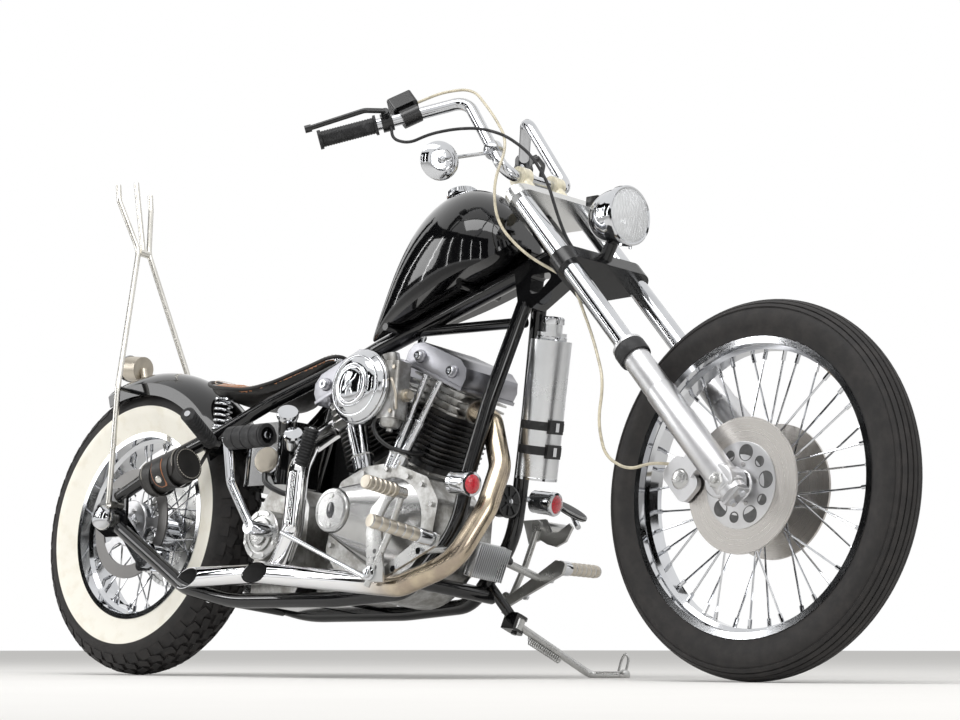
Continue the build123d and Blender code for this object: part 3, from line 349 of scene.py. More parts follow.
class Piece:
    # gathers the faces of one piece, in millimetres of the row frame
    def __init__(self, name, *looks):
        self.name, self.looks, self.bm = name, looks, bmesh.new()

    def add(self, verts, faces, look=0):
        made = [self.bm.verts.new(v) for v in verts]
        for face in faces:
            spots = [made[i] for i in face]
            if len({tuple(round(c, 4) for c in v.co) for v in spots}) > 2:
                try:
                    self.bm.faces.new(spots).material_index = look
                except ValueError:
                    pass

    def lathe(self, where, profile, steps=40, look=0):
        # turn (radius, height) pairs about the frame's Z
        verts, faces = [], []
        for radius, height in profile:
            for n in range(steps):
                a = 2 * math.pi * n / steps
                verts.append(where @ Vector((radius * math.cos(a), radius * math.sin(a), height)))
        for ring in range(len(profile) - 1):
            for n in range(steps):
                m = (n + 1) % steps
                a, b = ring * steps, (ring + 1) * steps
                faces.append((a + n, a + m, b + m, b + n))
        self.add(verts, faces, look)

    def tube(self, where, points, radius, sides=12, look=0, caps=True):
        # a round tube on smoothed points
        spots = [where @ Vector(p) for p in points]
        ways = []
        for n, spot in enumerate(spots):
            before, after = spots[max(n - 1, 0)], spots[min(n + 1, len(spots) - 1)]
            ways.append((after - before).normalized())
        side = ways[0].orthogonal().normalized()
        verts, faces = [], []
        for spot, way in zip(spots, ways):
            side = (side - way * side.dot(way)).normalized()
            up = way.cross(side)
            for n in range(sides):
                a = 2 * math.pi * n / sides
                verts.append(spot + (side * math.cos(a) + up * math.sin(a)) * radius)
        for ring in range(len(spots) - 1):
            for n in range(sides):
                m = (n + 1) % sides
                a, b = ring * sides, (ring + 1) * sides
                faces.append((a + n, a + m, b + m, b + n))
        if caps:
            faces.append(tuple(reversed(range(sides))))
            faces.append(tuple((len(spots) - 1) * sides + n for n in range(sides)))
        self.add(verts, faces, look)

    def slab(self, where, outline, low, high, look=0, bevel=0.0):
        # an outline in x and y of the frame, from height low to high
        verts = [where @ Vector((x, y, low)) for x, y in outline]
        verts += [where @ Vector((x, y, high)) for x, y in outline]
        count = len(outline)
        faces = [tuple(reversed(range(count))), tuple(range(count, 2 * count))]
        faces += [(n, (n + 1) % count, (n + 1) % count + count, n + count) for n in range(count)]
        self.add(verts, faces, look)

    def finish(self, body, slot, stands=(), bevel=0.0, sharp=32, weld=0.01, subdivide=0, solid=True):
        bm = self.bm
        bmesh.ops.remove_doubles(bm, verts=bm.verts, dist=weld)
        if bevel:
            edges = [e for e in bm.edges if len(e.link_faces) == 2 and e.calc_face_angle(0) > math.radians(40)]
            bmesh.ops.bevel(bm, geom=edges, offset=bevel, segments=2, profile=0.6, affect="EDGES", clamp_overlap=True)
        if solid:
            bmesh.ops.recalc_face_normals(bm, faces=bm.faces)
        for face in bm.faces:
            face.smooth = True
        for edge in bm.edges:
            edge.smooth = len(edge.link_faces) != 2 or edge.calc_face_angle(0) < math.radians(sharp)
        bmesh.ops.scale(bm, vec=(mm, mm, mm), verts=bm.verts)
        mesh = bpy.data.meshes.new(self.name)
        bm.to_mesh(mesh)
        bm.free()
        made = bpy.data.objects.new(self.name, mesh)
        bpy.context.scene.collection.objects.link(made)
        for look in self.looks:
            mesh.materials.append(finishes[look])
        if subdivide:
            smooth = made.modifiers.new("smooth", "SUBSURF")
            smooth.levels = smooth.render_levels = subdivide
        return join(made, body, stands)


def join(made, body, stands=()):
    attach(made, body)
    if stands:
        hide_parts(*stands)
    return made


def smoothed(points, per=8):
    # a Catmull-Rom line through the points
    spots = [Vector(p) for p in points]
    spots = [spots[0] * 2 - spots[1]] + spots + [spots[-1] * 2 - spots[-2]]
    line = []
    for a, b, c, d in zip(spots, spots[1:], spots[2:], spots[3:]):
        for n in range(per):
            t = n / per
            line.append(0.5 * ((2 * b) + (c - a) * t + (2 * a - 5 * b + 4 * c - d) * t * t
                               + (3 * b - a - 3 * c + d) * t ** 3))
    return line + [spots[-2]]


# Repeats, by geometry nodes


def repeatTree(name, look, shape, inputs):
    # instances of one shape on points that carry their own turn, made real with one finish
    tree = bpy.data.node_groups.new(name, "GeometryNodeTree")
    tree.interface.new_socket("Points", in_out="INPUT", socket_type="NodeSocketGeometry")
    for label, value in inputs.items():
        kind = "NodeSocketInt" if isinstance(value, int) else "NodeSocketFloat"
        tree.interface.new_socket(label, in_out="INPUT", socket_type=kind)
    tree.interface.new_socket("Result", in_out="OUTPUT", socket_type="NodeSocketGeometry")
    nodes, links = tree.nodes, tree.links
    source, target = nodes.new("NodeGroupInput"), nodes.new("NodeGroupOutput")
    turn = nodes.new("GeometryNodeInputNamedAttribute")
    turn.data_type = "FLOAT_VECTOR"
    turn.inputs["Name"].default_value = "turn"
    onPoints = nodes.new("GeometryNodeInstanceOnPoints")
    real = nodes.new("GeometryNodeRealizeInstances")
    paint = nodes.new("GeometryNodeSetMaterial")
    paint.inputs["Material"].default_value = finishes[look]
    links.new(source.outputs["Points"], onPoints.inputs["Points"])
    links.new(shape(tree, source), onPoints.inputs["Instance"])
    links.new(turn.outputs["Attribute"], onPoints.inputs["Rotation"])
    links.new(onPoints.outputs["Instances"], real.inputs["Geometry"])
    links.new(real.outputs["Geometry"], paint.inputs["Geometry"])
    links.new(paint.outputs["Geometry"], target.inputs["Result"])
    return tree


def headShape(tree, source):
    # a bolt or screw head: a short many-sided drum on its seat
    drum = tree.nodes.new("GeometryNodeMeshCylinder")
    move = tree.nodes.new("GeometryNodeTransform")
    half = tree.nodes.new("ShaderNodeMath")
    half.operation = "MULTIPLY"
    half.inputs[1].default_value = 0.5
    up = tree.nodes.new("ShaderNodeCombineXYZ")
    tree.links.new(source.outputs["Sides"], drum.inputs["Vertices"])
    tree.links.new(source.outputs["Radius"], drum.inputs["Radius"])
    tree.links.new(source.outputs["Height"], drum.inputs["Depth"])
    tree.links.new(source.outputs["Height"], half.inputs[0])
    tree.links.new(half.outputs[0], up.inputs["Z"])
    tree.links.new(drum.outputs["Mesh"], move.inputs["Geometry"])
    tree.links.new(up.outputs[0], move.inputs["Translation"])
    return move.outputs["Geometry"]


def blockShape(tree, source):
    cube = tree.nodes.new("GeometryNodeMeshCube")
    size = tree.nodes.new("ShaderNodeCombineXYZ")
    for axis, label in zip("XYZ", ("Length", "Width", "Depth")):
        tree.links.new(source.outputs[label], size.inputs[axis])
    tree.links.new(size.outputs[0], cube.inputs["Size"])
    return cube.outputs["Mesh"]


def ringShape(tree, source):
    # a ring of round wire
    ring = tree.nodes.new("GeometryNodeCurvePrimitiveCircle")
    wire = tree.nodes.new("GeometryNodeCurvePrimitiveCircle")
    made = tree.nodes.new("GeometryNodeCurveToMesh")
    ring.inputs["Resolution"].default_value = 28
    wire.inputs["Resolution"].default_value = 6
    tree.links.new(source.outputs["Radius"], ring.inputs["Radius"])
    tree.links.new(source.outputs["Wire"], wire.inputs["Radius"])
    tree.links.new(ring.outputs["Curve"], made.inputs["Curve"])
    tree.links.new(wire.outputs["Curve"], made.inputs["Profile Curve"])
    return made.outputs["Mesh"]


def coilShape(tree, source):
    # a coil of round wire standing on its foot
    coil = tree.nodes.new("GeometryNodeCurveSpiral")
    wire = tree.nodes.new("GeometryNodeCurvePrimitiveCircle")
    made = tree.nodes.new("GeometryNodeCurveToMesh")
    coil.inputs["Resolution"].default_value = 20
    wire.inputs["Resolution"].default_value = 8
    made.inputs["Fill Caps"].default_value = True
    tree.links.new(source.outputs["Turns"], coil.inputs["Rotations"])
    tree.links.new(source.outputs["Radius"], coil.inputs["Start Radius"])
    tree.links.new(source.outputs["Radius"], coil.inputs["End Radius"])
    tree.links.new(source.outputs["Height"], coil.inputs["Height"])
    tree.links.new(source.outputs["Wire"], wire.inputs["Radius"])
    tree.links.new(coil.outputs["Curve"], made.inputs["Curve"])
    tree.links.new(wire.outputs["Curve"], made.inputs["Profile Curve"])
    return made.outputs["Mesh"]


def repeated(name, look, shape, places, body, slot, stands=(), **sizes):
    # places are frames in millimetres; sizes are the tree's named inputs, in millimetres or counts
    inputs = {label.capitalize(): value for label, value in sizes.items()}
    tree = repeatTree(name + "Tree", look, shape, inputs)
    mesh = bpy.data.meshes.new(name + "Points")
    mesh.from_pydata([tuple(p.translation * mm) for p in places], [], [])
    turns = mesh.attributes.new("turn", "FLOAT_VECTOR", "POINT")
    for n, place in enumerate(places):
        turns.data[n].vector = place.to_euler("XYZ")
    base = bpy.data.objects.new(name + "Base", mesh)
    bpy.context.scene.collection.objects.link(base)
    run = base.modifiers.new("repeat", "NODES")
    run.node_group = tree
    for item in tree.interface.items_tree:
        if item.in_out == "INPUT" and item.name in inputs:
            value = inputs[item.name]
            run[item.identifier] = value if isinstance(value, int) else value * mm
    bpy.context.view_layer.update()
    solid = base.evaluated_get(bpy.context.evaluated_depsgraph_get())
    made = bpy.data.objects.new(name, bpy.data.meshes.new_from_object(solid))
    bpy.data.objects.remove(base)
    bpy.context.scene.collection.objects.link(made)
    for face in made.data.polygons:
        face.use_smooth = shape in (ringShape, coilShape)
    return join(made, body, stands)


# Tyres and wheels
rearTyreSizes = {"radius": 333.0, "crown": 57.0, "side": 62.5, "centre": 276.0, "rim": 218.0, "rimHalf": 44.0, "blocks": 46}
frontTyreSizes = {"radius": 352.5, "crown": 39.5, "side": 41.0, "centre": 313.0, "rim": 280.0, "rimHalf": 30.0}


def tyreProfile(sizes, groove=None):
    # (radius, side) from one bead over the crown to the other, and back inside
    outer = []
    for n in range(-88, 89):
        a = math.radians(n * 1.25)
        lift = groove(math.degrees(a)) if groove else 0
        outer.append((sizes["centre"] + (sizes["crown"] + lift) * math.cos(a), (sizes["side"] + lift) * math.sin(a)))
    lip = sizes["rimHalf"]
    outer = [(sizes["rim"] - 6, -lip), (sizes["rim"] + 4, -lip - 2)] + outer + [
        (sizes["rim"] + 4, lip + 2), (sizes["rim"] - 6, lip)]
    inner = [(sizes["rim"] - 6, lip - 8), (sizes["centre"], sizes["crown"] - 12),
             (sizes["radius"] - 10, 0), (sizes["centre"], 12 - sizes["crown"]), (sizes["rim"] - 6, 8 - lip)]
    return outer + inner + outer[:1]


def ribbed(angle):
    # fine grooves round the crown of the front tyre
    if abs(angle) > 62:
        return 0.0
    return 2.2 if (angle + 62) % 15.5 > 3.4 else -0.6


def makeTyre(name, wheel, sizes, body, look, node, groove=None):
    tyre = Piece(name, look)
    where = wheel @ Matrix.Rotation(math.radians(-90), 4, "X")
    tyre.lathe(where, tyreProfile(sizes, groove), 128)
    return tyre.finish(body, "tyre_rubber", (node,), sharp=40)


makeTyre("frontTyreTread", frontWheel, frontTyreSizes, "front_wheel", "frontTyre", "front_tyre", ribbed)
makeTyre("rearTyreCarcass", rearWheel, rearTyreSizes, "rear_wheel", "rearTyre", "rear_tyre")


def treadPlace(wheel, sizes, turn, tilt, lift=0.0, twist=0.0):
    # a frame on the tread: X round the wheel, Z outwards
    roll = wheel @ Matrix.Rotation(turn, 4, "Y") @ Matrix.Translation((sizes["centre"], 0, 0))
    roll = roll @ Matrix.Rotation(math.radians(tilt), 4, "Z") @ Matrix.Translation((sizes["crown"] + lift, 0, 0))
    return roll @ Matrix.Rotation(math.radians(90), 4, "Y") @ Matrix.Rotation(math.radians(90 + twist), 4, "Z")


treadRows = [(0, 0.0, 17, 19, 10), (19, 0.5, 15, 17, -14), (-19, 0.5, 15, 17, 14), (37, 0.0, 16, 16, 16),
             (-37, 0.0, 16, 16, -16), (56, 0.5, 22, 15, 0), (-56, 0.5, 22, 15, 0)]
for number, (tilt, shift, width, length, twist) in enumerate(treadRows):
    count = rearTyreSizes["blocks"]
    spots = [treadPlace(rearWheel, rearTyreSizes, 2 * math.pi * (n + shift) / count, tilt, 1.2, twist)
             for n in range(count)]
    repeated(f"treadBlocks{number}", "rearTyre", blockShape, spots, "rear_wheel", "tyre_rubber",
             length=float(width), width=float(length + 14), depth=9.0)
print("tyres made")


def nipplePlaces(wheel, rimRadius, hubHalf, flangeRadius):
    spots = []
    for side in (-1, 1):
        for n in range(20):
            turn = 54 if n % 2 == 0 else -54
            hub = math.radians(18 * (n + (0.5 if side == -1 else 0)))
            rimTurn = hub + math.radians(turn)
            lace = 5 if turn > 0 else -5
            start = Vector((flangeRadius * math.cos(hub), side * (hubHalf * 0.7 + lace), flangeRadius * math.sin(hub)))
            end = Vector((rimRadius * math.cos(rimTurn), side * (4 + lace * 0.3), rimRadius * math.sin(rimTurn)))
            way = (start - end).normalized()
            spots.append(seat(wheel, end - way * 1, way))
    return spots


repeated("frontNipples", "chrome", headShape, nipplePlaces(frontWheel, 261, 46, 31), "front_wheel", "chrome",
         sides=8, radius=4.0, height=21.0)
repeated("rearNipples", "chrome", headShape, nipplePlaces(rearWheel, 199, 62, 47), "rear_wheel", "chrome",
         sides=8, radius=4.0, height=18.0)


def ringOfBolts(wheel, side, radius, level, count, start=0.0):
    return [seat(wheel, (radius * math.cos(start + 2 * math.pi * n / count), side * level,
                         radius * math.sin(start + 2 * math.pi * n / count)), (0, side, 0)) for n in range(count)]


for sideName, side in (("Right", -1), ("Left", 1)):
    carrier = Piece("discCarrier" + sideName, "satin", "shade", "black")
    where = seat(frontWheel, (0, 0, 0), (0, side, 0))
    carrier.lathe(where, [(14, 51), (14, 59), (26, 59), (29, 56), (79, 54), (81, 53), (81, 51.2), (14, 51.2)], 72)
    carrier.lathe(where, [(14, 51), (14, 64), (21, 64), (23, 62), (23, 55)], 40, 2)
    # the grey discs laid on the carrier's face stand for its holes: painted shade
    for n in range(10):
        a, r = 2 * math.pi * n / 10, 14.5 if n % 2 else 9.0
        hole = seat(frontWheel, (60 * math.cos(a), side * 54.6, 60 * math.sin(a)), (0, side, 0))
        carrier.lathe(hole, [(0, 0.3), (r - 1, 0.3), (r, 1.0), (r + 1.6, 0.6), (r + 1.8, -0.5)], 28, 1)
    carrier.finish("front_wheel", "alloy")
    small = ringOfBolts(frontWheel, side, 38, 54.5, 5, math.pi / 5)
    repeated("carrierRivets" + sideName, "steel", headShape, small, "front_wheel", "steel", sides=12, radius=4.2, height=3.0)
    repeated("discBolts" + sideName, "steel", headShape, ringOfBolts(frontWheel, side, 24, 58, 5), "front_wheel",
             "steel", sides=6, radius=5.2, height=5.0)
repeated("rearDiscBolts", "steel", headShape, ringOfBolts(rearWheel, -1, 30, 67, 5), "rear_wheel", "steel",
         sides=6, radius=5.2, height=5.0)
print("wheels made")

# Fork and controls
for sideName, side in (("Right", -1), ("Left", 1)):
    collar = Piece("dustSeal" + sideName, "rubber", "chrome")
    foot = seat(fork, (45, side * 95, 0), (0, 0, 1))
    collar.lathe(foot, [(21, 340), (31.6, 341), (32.4, 346), (32.4, 368), (30, 374), (25, 379), (21, 381)], 40)
    collar.lathe(foot, [(21, 382), (24, 382), (24, 386), (21, 386)], 40, 1)
    collar.finish("fork", "black_rubber")
    sleeve = Piece("sliderSteps" + sideName, "satin")
    sleeve.lathe(foot, [(26.5, -22), (29.6, -20), (29.6, 168), (28.6, 174), (28.6, 246), (26.5, 252)], 48)
    boss = seat(fork, (45, side * 95, 0), (0, side, 0))
    sleeve.lathe(boss, [(0, -23.4), (29, -23.4), (32, -21), (32, 21), (29, 23.4), (0, 23.4)], 48)
    sleeve.slab(fork @ Matrix.Translation((45, side * 95, -31)), [(-22, -16), (22, -16), (22, 16), (-22, 16)], -9, 4)
    sleeve.finish("fork", "alloy", bevel=0.8)
    clamps = [seat(fork, (45 + dx, side * 95, -40), (0, 0, -1)) for dx in (-13, 13)]
    repeated("clampNuts" + sideName, "chrome", headShape, clamps, "fork", "chrome", sides=6, radius=6.4, height=6.0)
    nut = Piece("axleNut" + sideName, "steel")
    end = seat(fork, (45, side * 118, 0), (0, side, 0))
    nut.lathe(end, [(10, -0.5), (17, -0.5), (17, 6), (14, 9), (9, 10), (0, 10)], 6)
    nut.lathe(end, [(0, 10), (7, 10), (7, 15), (5, 17), (0, 17)], 24)
    nut.finish("fork", "chrome")
    cap = Piece("forkCap" + sideName, "chrome")
    top = seat(fork, (45, side * 95, 850), (0, 0, 1))
    cap.lathe(top, [(20.5, -0.4), (22, -0.4), (22, 4), (16, 7), (0, 9)], 40)
    cap.lathe(top, [(0, 9), (9, 9), (9, 15), (0, 15)], 6)
    cap.finish("fork", "chrome")

stemNut = Piece("stemNut", "chrome")
stemNut.lathe(seat(fork, (0, 0, 858), (0, 0, 1)), [(0, 8), (16, 8), (21, 4), (21, 0), (0, 0)], 6)
stemNut.lathe(seat(fork, (0, 0, 866), (0, 0, 1)), [(0, 6), (8, 5), (12, 0)], 30)
stemNut.finish("fork", "chrome")

gripSizes = {"radius": 16.6, "rings": 19}
barTop = Vector((74, 88, 1127))
gripEnd = Vector((-150, 300, 1202))
gripWay = (gripEnd - barTop).normalized()
gripStart = gripEnd - gripWay * 122
for sideName, side in (("Right", -1), ("Left", 1)):
    flip = Vector((1, side, 1))
    start, way = gripStart * flip, gripWay * flip
    grip = Piece("grip" + sideName, "rubber")
    where = seat(fork, start, way)
    profile = [(13, 0), (21.5, 0), (21.5, 5)]
    for n in range(gripSizes["rings"]):
        at = 8 + n * 5.8
        profile += [(15.2, at), (gripSizes["radius"] + 0.7, at + 1.2), (gripSizes["radius"] + 0.7, at + 3.6),
                    (15.2, at + 4.8)]
    profile += [(16, 118), (20.5, 119), (20.5, 125), (17, 126), (0, 126)]
    grip.lathe(where, profile, 36)
    grip.finish("fork", "black_rubber")

for number, (spot, way) in enumerate([((51, -48, 908), (0, 1, 0)), ((51, 48, 908), (0, 1, 0))]):
    repeated(f"riserBolts{number}", "chrome", headShape,
             [seat(fork, (51 + dx, spot[1], 921), (0, 0, 1)) for dx in (-15, 15)],
             "fork", "chrome", sides=12, radius=5.0, height=8.0)

# Front brake: calliper faces, each with a bolt head
for sideName, side in (("Right", -1), ("Left", 1)):
    face = Piece("calliperFace" + sideName, "alloy", "steel")
    where = seat(fork, (-42, side * 67.6, 104), (0, side, 0))
    face.lathe(where, [(0, 5.5), (14, 5.5), (17, 4), (20, 0)], 40)
    face.lathe(where, [(0, 7), (6, 7), (6, 5)], 6, 1)
    face.finish("fork", "alloy")
print("fork trim made")

# Headlamp: shell, reflector, bulb and fluted lens
lampAxis = Vector((math.cos(math.radians(43)), 0, -math.sin(math.radians(43))))
lampSeat = seat(fork, (170, 0, 655), lampAxis, (0, 1, 0))
shell = Piece("headlampShell", "chrome", "reflector")
ball = []
for n in range(17):
    t = math.radians(n * 90 / 16)
    ball.append((57.5 * math.sin(t) ** 0.92, -16 - 76 * math.cos(t) ** 0.9))
shell.lathe(lampSeat, ball + [(58, -14), (61, -12), (61.3, -6), (60.6, 2), (57.6, 4.6), (54.5, 3.2), (53.5, 0)], 64)
bowl = [(53.5, 0)] + [(52.5 * math.cos(math.radians(a)), -4 - 46 * math.sin(math.radians(a))) for a in range(6, 90, 7)]
shell.lathe(lampSeat, bowl + [(0, -50)], 64, 1)
shell.finish("fork", "chrome", ("headlamp",))
bulb = Piece("headlampBulb", "steel")
bulb.lathe(lampSeat, [(0, -48), (9, -48), (9, -36), (6, -30), (6, -14), (4, -8), (0, -6)], 24)
bulb.finish("fork", "glass")
lens = Piece("headlampGlass", "glass")
face = [(54.4 * n / 14, 2.8 + 12 * (1 - (n / 14) ** 2)) for n in range(15)]
lens.lathe(lampSeat, face + [(r, z - 2.2) for r, z in reversed(face)], 64)
lens.finish("fork", "glass", ("headlamp_lens",))
toggle = Piece("headlampSwitch", "black", "chrome")
up = (lampSeat.inverted() @ fork).to_3x3() @ Vector((0.682, 0, 0.731))
switchSeat = seat(lampSeat, up * 40 + Vector((0, 0, -96)), up, (0, 0, 1))
toggle.slab(switchSeat, [(-16, -9), (16, -9), (16, 9), (-16, 9)], -8, 12)
toggle.finish("fork", "black_rubber", bevel=2.0)
earBolts = [seat(lampSeat, up * (-59 * s) + Vector((14 * t, 0, -6)), up * -1) for s in (1,) for t in (-1, 1)]
repeated("headlampClips", "chrome", headShape, earBolts, "fork", "chrome", sides=10, radius=3.2, height=5.0)

# Mirror, seen from its chrome back
mirrorSizes = {"radius": 40.0, "screws": 5, "stem": 4.0}
mirrorBack = Vector((0.62, -0.42, -0.66)).normalized()
mirrorSeat = seat(fork, (19, -235, 942), mirrorBack)
glass = Piece("mirrorShell", "chrome", "reflector", "soot")
glass.lathe(mirrorSeat, [(0, 7), (9, 7.4), (20, 6.4), (22, 7.8), (24, 7.6), (31, 4.2), (36, 0.6), (39, -2), (40.5, -4),
                         (40.5, -6), (38, -6.4), (0, -6)], 56)
glass.lathe(mirrorSeat, [(0, -6.2), (37, -6.2), (37, -6.6), (0, -6.6)], 56, 1)
for n in range(mirrorSizes["screws"]):
    a = 2 * math.pi * (n + 0.2) / mirrorSizes["screws"]
    glass.lathe(mirrorSeat @ Matrix.Translation((14.5 * math.cos(a), 14.5 * math.sin(a), 6.9)),
                [(4.4, -0.5), (4.4, 0.9), (3.4, 1.3), (2.6, 1.3), (2.6, 0.3), (0, 0.3)], 16)
mirrorEnd = mirrorSeat.inverted() @ (fork @ Vector((54, -93, 975)))
glass.tube(mirrorSeat, smoothed([(0, 0, 6), (0, 0, 13), mirrorEnd * 0.12 + Vector((0, 0, 13)), mirrorEnd]), 3.8, 14)
glass.lathe(mirrorSeat, [(0, 7), (7, 7), (8, 10), (6, 14), (0, 16)], 20)
glass.finish("fork", "chrome", ("mirror",))
clamp = Piece("mirrorClamp", "chrome")
barWay = Vector((74, -88, 1127)) - Vector((51, -95, 908))
clamp.lathe(seat(fork, (57.5, -93, 968), barWay), [(12.8, 0), (19, 0), (20, 2), (20, 16), (19, 18), (12.8, 18)], 30)
clamp.finish("fork", "chrome")
print("headlamp and mirror made")

# Fuel tank cap, knurled
capSeat = bike @ Matrix.Translation((908, 0, 1012)) @ Matrix.Rotation(math.radians(-14), 4, "Y")
cap = Piece("tankCap", "chrome")
cap.lathe(capSeat, [(33, 8), (34, 9), (34, 12), (31.6, 13), (31.6, 21), (30, 23.5), (24, 25), (0, 26.5)], 56)
cap.finish("frame", "chrome")
knurl = [seat(capSeat, (31.5 * math.cos(math.radians(a)), 31.5 * math.sin(math.radians(a)), 13), (0, 0, 1),
              (math.cos(math.radians(a)), math.sin(math.radians(a)), 0)) for a in range(0, 360, 8)]
repeated("tankCapKnurls", "chrome", headShape, knurl, "frame", "chrome", sides=6, radius=1.5, height=8.0)

# Solo seat, padded, on two coil springs
seatSizes = {"wide": 120.0, "thick": 15.0, "piping": 4.2, "swell": 7.0, "voxel": 4.6}
seatLine = smoothed([(600, 0, 716), (580, 0, 706), (500, 0, 664), (436, 0, 633), (372, 0, 617), (286, 0, 630),
                     (206, 0, 674), (190, 0, 684)], 10)


def seatHeight(x):
    for a, b in zip(seatLine, seatLine[1:]):
        if b.x <= x <= a.x:
            return a.z + (b.z - a.z) * (a.x - x) / max(a.x - b.x, 1e-6)
    return seatLine[0].z if x > seatLine[0].x else seatLine[-1].z


def hullPath(rounds, steps):
    # the outline round several circles, as (x, y, radius)
    path = []
    for n in range(steps):
        way = Vector((math.cos(2 * math.pi * n / steps), math.sin(2 * math.pi * n / steps)))
        x, y, r = max(rounds, key=lambda c: c[0] * way.x + c[1] * way.y + c[2])
        path.append(Vector((x, y)) + way * r)
    return path


def evenly(path, count):
    # the closed path again, in equal steps
    loop = path + path[:1]
    total = sum((b - a).length for a, b in zip(loop, loop[1:]))
    spots, reach, step = [], 0.0, total / count
    for a, b in zip(loop, loop[1:]):
        length = (b - a).length
        while length > 0 and len(spots) < count and len(spots) * step <= reach + length:
            spots.append(a + (b - a) * ((len(spots) * step - reach) / length))
        reach += length
    return spots


def puffed(made, voxel, cap, frames=20):
    # a stuffed form: even mesh, blown up a little as cloth, no point moving further than the cap
    shape = made.modifiers.new("even", "REMESH")
    shape.mode, shape.voxel_size = "VOXEL", voxel * mm
    bpy.context.view_layer.update()
    made.data = bpy.data.meshes.new_from_object(made.evaluated_get(bpy.context.evaluated_depsgraph_get()))
    made.modifiers.clear()
    cloth = made.modifiers.new("puff", "CLOTH")
    cloth.settings.use_pressure = True
    cloth.settings.uniform_pressure_force = 4
    cloth.settings.effector_weights.gravity = 0
    for number in range(1, frames + 1):
        bpy.context.scene.frame_set(number)
    blown = bpy.data.meshes.new_from_object(made.evaluated_get(bpy.context.evaluated_depsgraph_get()))
    for before, after in zip(made.data.vertices, blown.vertices):
        move = after.co - before.co
        before.co += move * min(1.0, cap * mm / max(move.length, 1e-9))
    made.modifiers.clear()
    bpy.context.scene.frame_set(1)
    for face in made.data.polygons:
        face.use_smooth = True
    finer = made.modifiers.new("finer", "SUBSURF")
    finer.levels = finer.render_levels = 1
    return made


outline = evenly(hullPath([(330, 0, seatSizes["wide"] - 3), (544, 0, 36)], 180), 72)
pad = bmesh.new()
rings = []
layers = [(1.0, 0.0), (0.985, 5.0), (0.95, 8.5), (0.86, 11.0), (0.7, 11.6), (0.48, 10.6), (0.24, 9.6)]
for shrink, lift in layers + [(s, -l * 0.62) for s, l in layers[1:]]:
    ring = []
    for spot in outline:
        x, y = 380 + (spot.x - 380) * shrink, spot.y * shrink
        ring.append(pad.verts.new((bike @ Vector((x, y, seatHeight(x) - 8 + lift + 0.0009 * y * y))) * mm))
    rings.append(ring)
tops, unders = rings[:len(layers)], [rings[0]] + rings[len(layers):]
for stack in (tops, unders):
    for first, second in zip(stack, stack[1:]):
        for n in range(len(first)):
            m = (n + 1) % len(first)
            pad.faces.new((first[n], first[m], second[m], second[n]))
    pad.faces.new(stack[-1])
bmesh.ops.recalc_face_normals(pad, faces=pad.faces)
padMesh = bpy.data.meshes.new("seatPad")
pad.to_mesh(padMesh)
pad.free()
seatPad = bpy.data.objects.new("seatPad", padMesh)
bpy.context.scene.collection.objects.link(seatPad)
seatPad = puffed(seatPad, seatSizes["voxel"], seatSizes["swell"])
seatPad.data.materials.clear()
for look in ("tan", "hide"):
    seatPad.data.materials.append(finishes[look])
seatUp = bike.to_3x3() @ Vector((0, 0, 1))
for face in seatPad.data.polygons:
    face.material_index = 0 if face.normal.dot(seatUp) > 0.2 else 1
join(seatPad, "frame", ("seat",))
piping = Piece("seatPiping", "hide")
edge = [Vector((s.x, s.y, seatHeight(s.x) - 8 + 0.0009 * s.y * s.y)) for s in
        evenly(hullPath([(330, 0, seatSizes["wide"] - 1), (544, 0, 38)], 180), 96)]
piping.tube(bike, edge + edge[:1], seatSizes["piping"], 10, caps=False)
piping.finish("frame", "black_leather")
stitchSpots = evenly(hullPath([(330, 0, seatSizes["wide"] - 13), (544, 0, 27)], 180), 110)
stitchPlaces = []
for n, spot in enumerate(stitchSpots):
    ahead = stitchSpots[(n + 1) % len(stitchSpots)] - spot
    top = seatHeight(spot.x) + 3.2 + 0.0009 * spot.y * spot.y
    slope = seatHeight(spot.x + ahead.x) - seatHeight(spot.x)
    stitchPlaces.append(seat(bike, (spot.x, spot.y, top), (0, 0, 1), (ahead.x, ahead.y, slope)))
repeated("seatStitches", "white", blockShape, stitchPlaces, "frame", "seat_leather", length=5.5, width=1.3, depth=1.2)
springs = [seat(bike, (318, side * 98, 538), (0, 0, 1)) for side in (-1, 1)]
repeated("seatCoils", "chrome", coilShape, springs, "frame", "chrome", ("seat_springs",),
         turns=5, radius=18.0, height=64.0, wire=3.0)
springSeats = Piece("seatSpringSeats", "chrome")
for side in (-1, 1):
    for low in (533, 600):
        springSeats.lathe(seat(bike, (318, side * 98, low), (0, 0, 1)), [(0, 0), (22, 0), (22, 4), (0, 4)], 28)
springSeats.lathe(seat(bike, (575, 0, 684), (0.3, 0, 1)), [(0, 0), (15, 0), (15, 12), (0, 12)], 24)
springSeats.finish("frame", "chrome")
print("seat made")

# Engine: screws, rocker bolts, points cover, air cleaner, carburettor


def sideScrews(points, y, side=-1):
    return [seat(bike, (x, y, z), (0, side, 0)) for x, z in points]


def bankPoint(way, x, y, z):
    return Matrix.Translation((826, 0, 300)) @ Matrix.Rotation(math.radians(22.5 * way), 4, "Y") @ Vector((x, y, z))


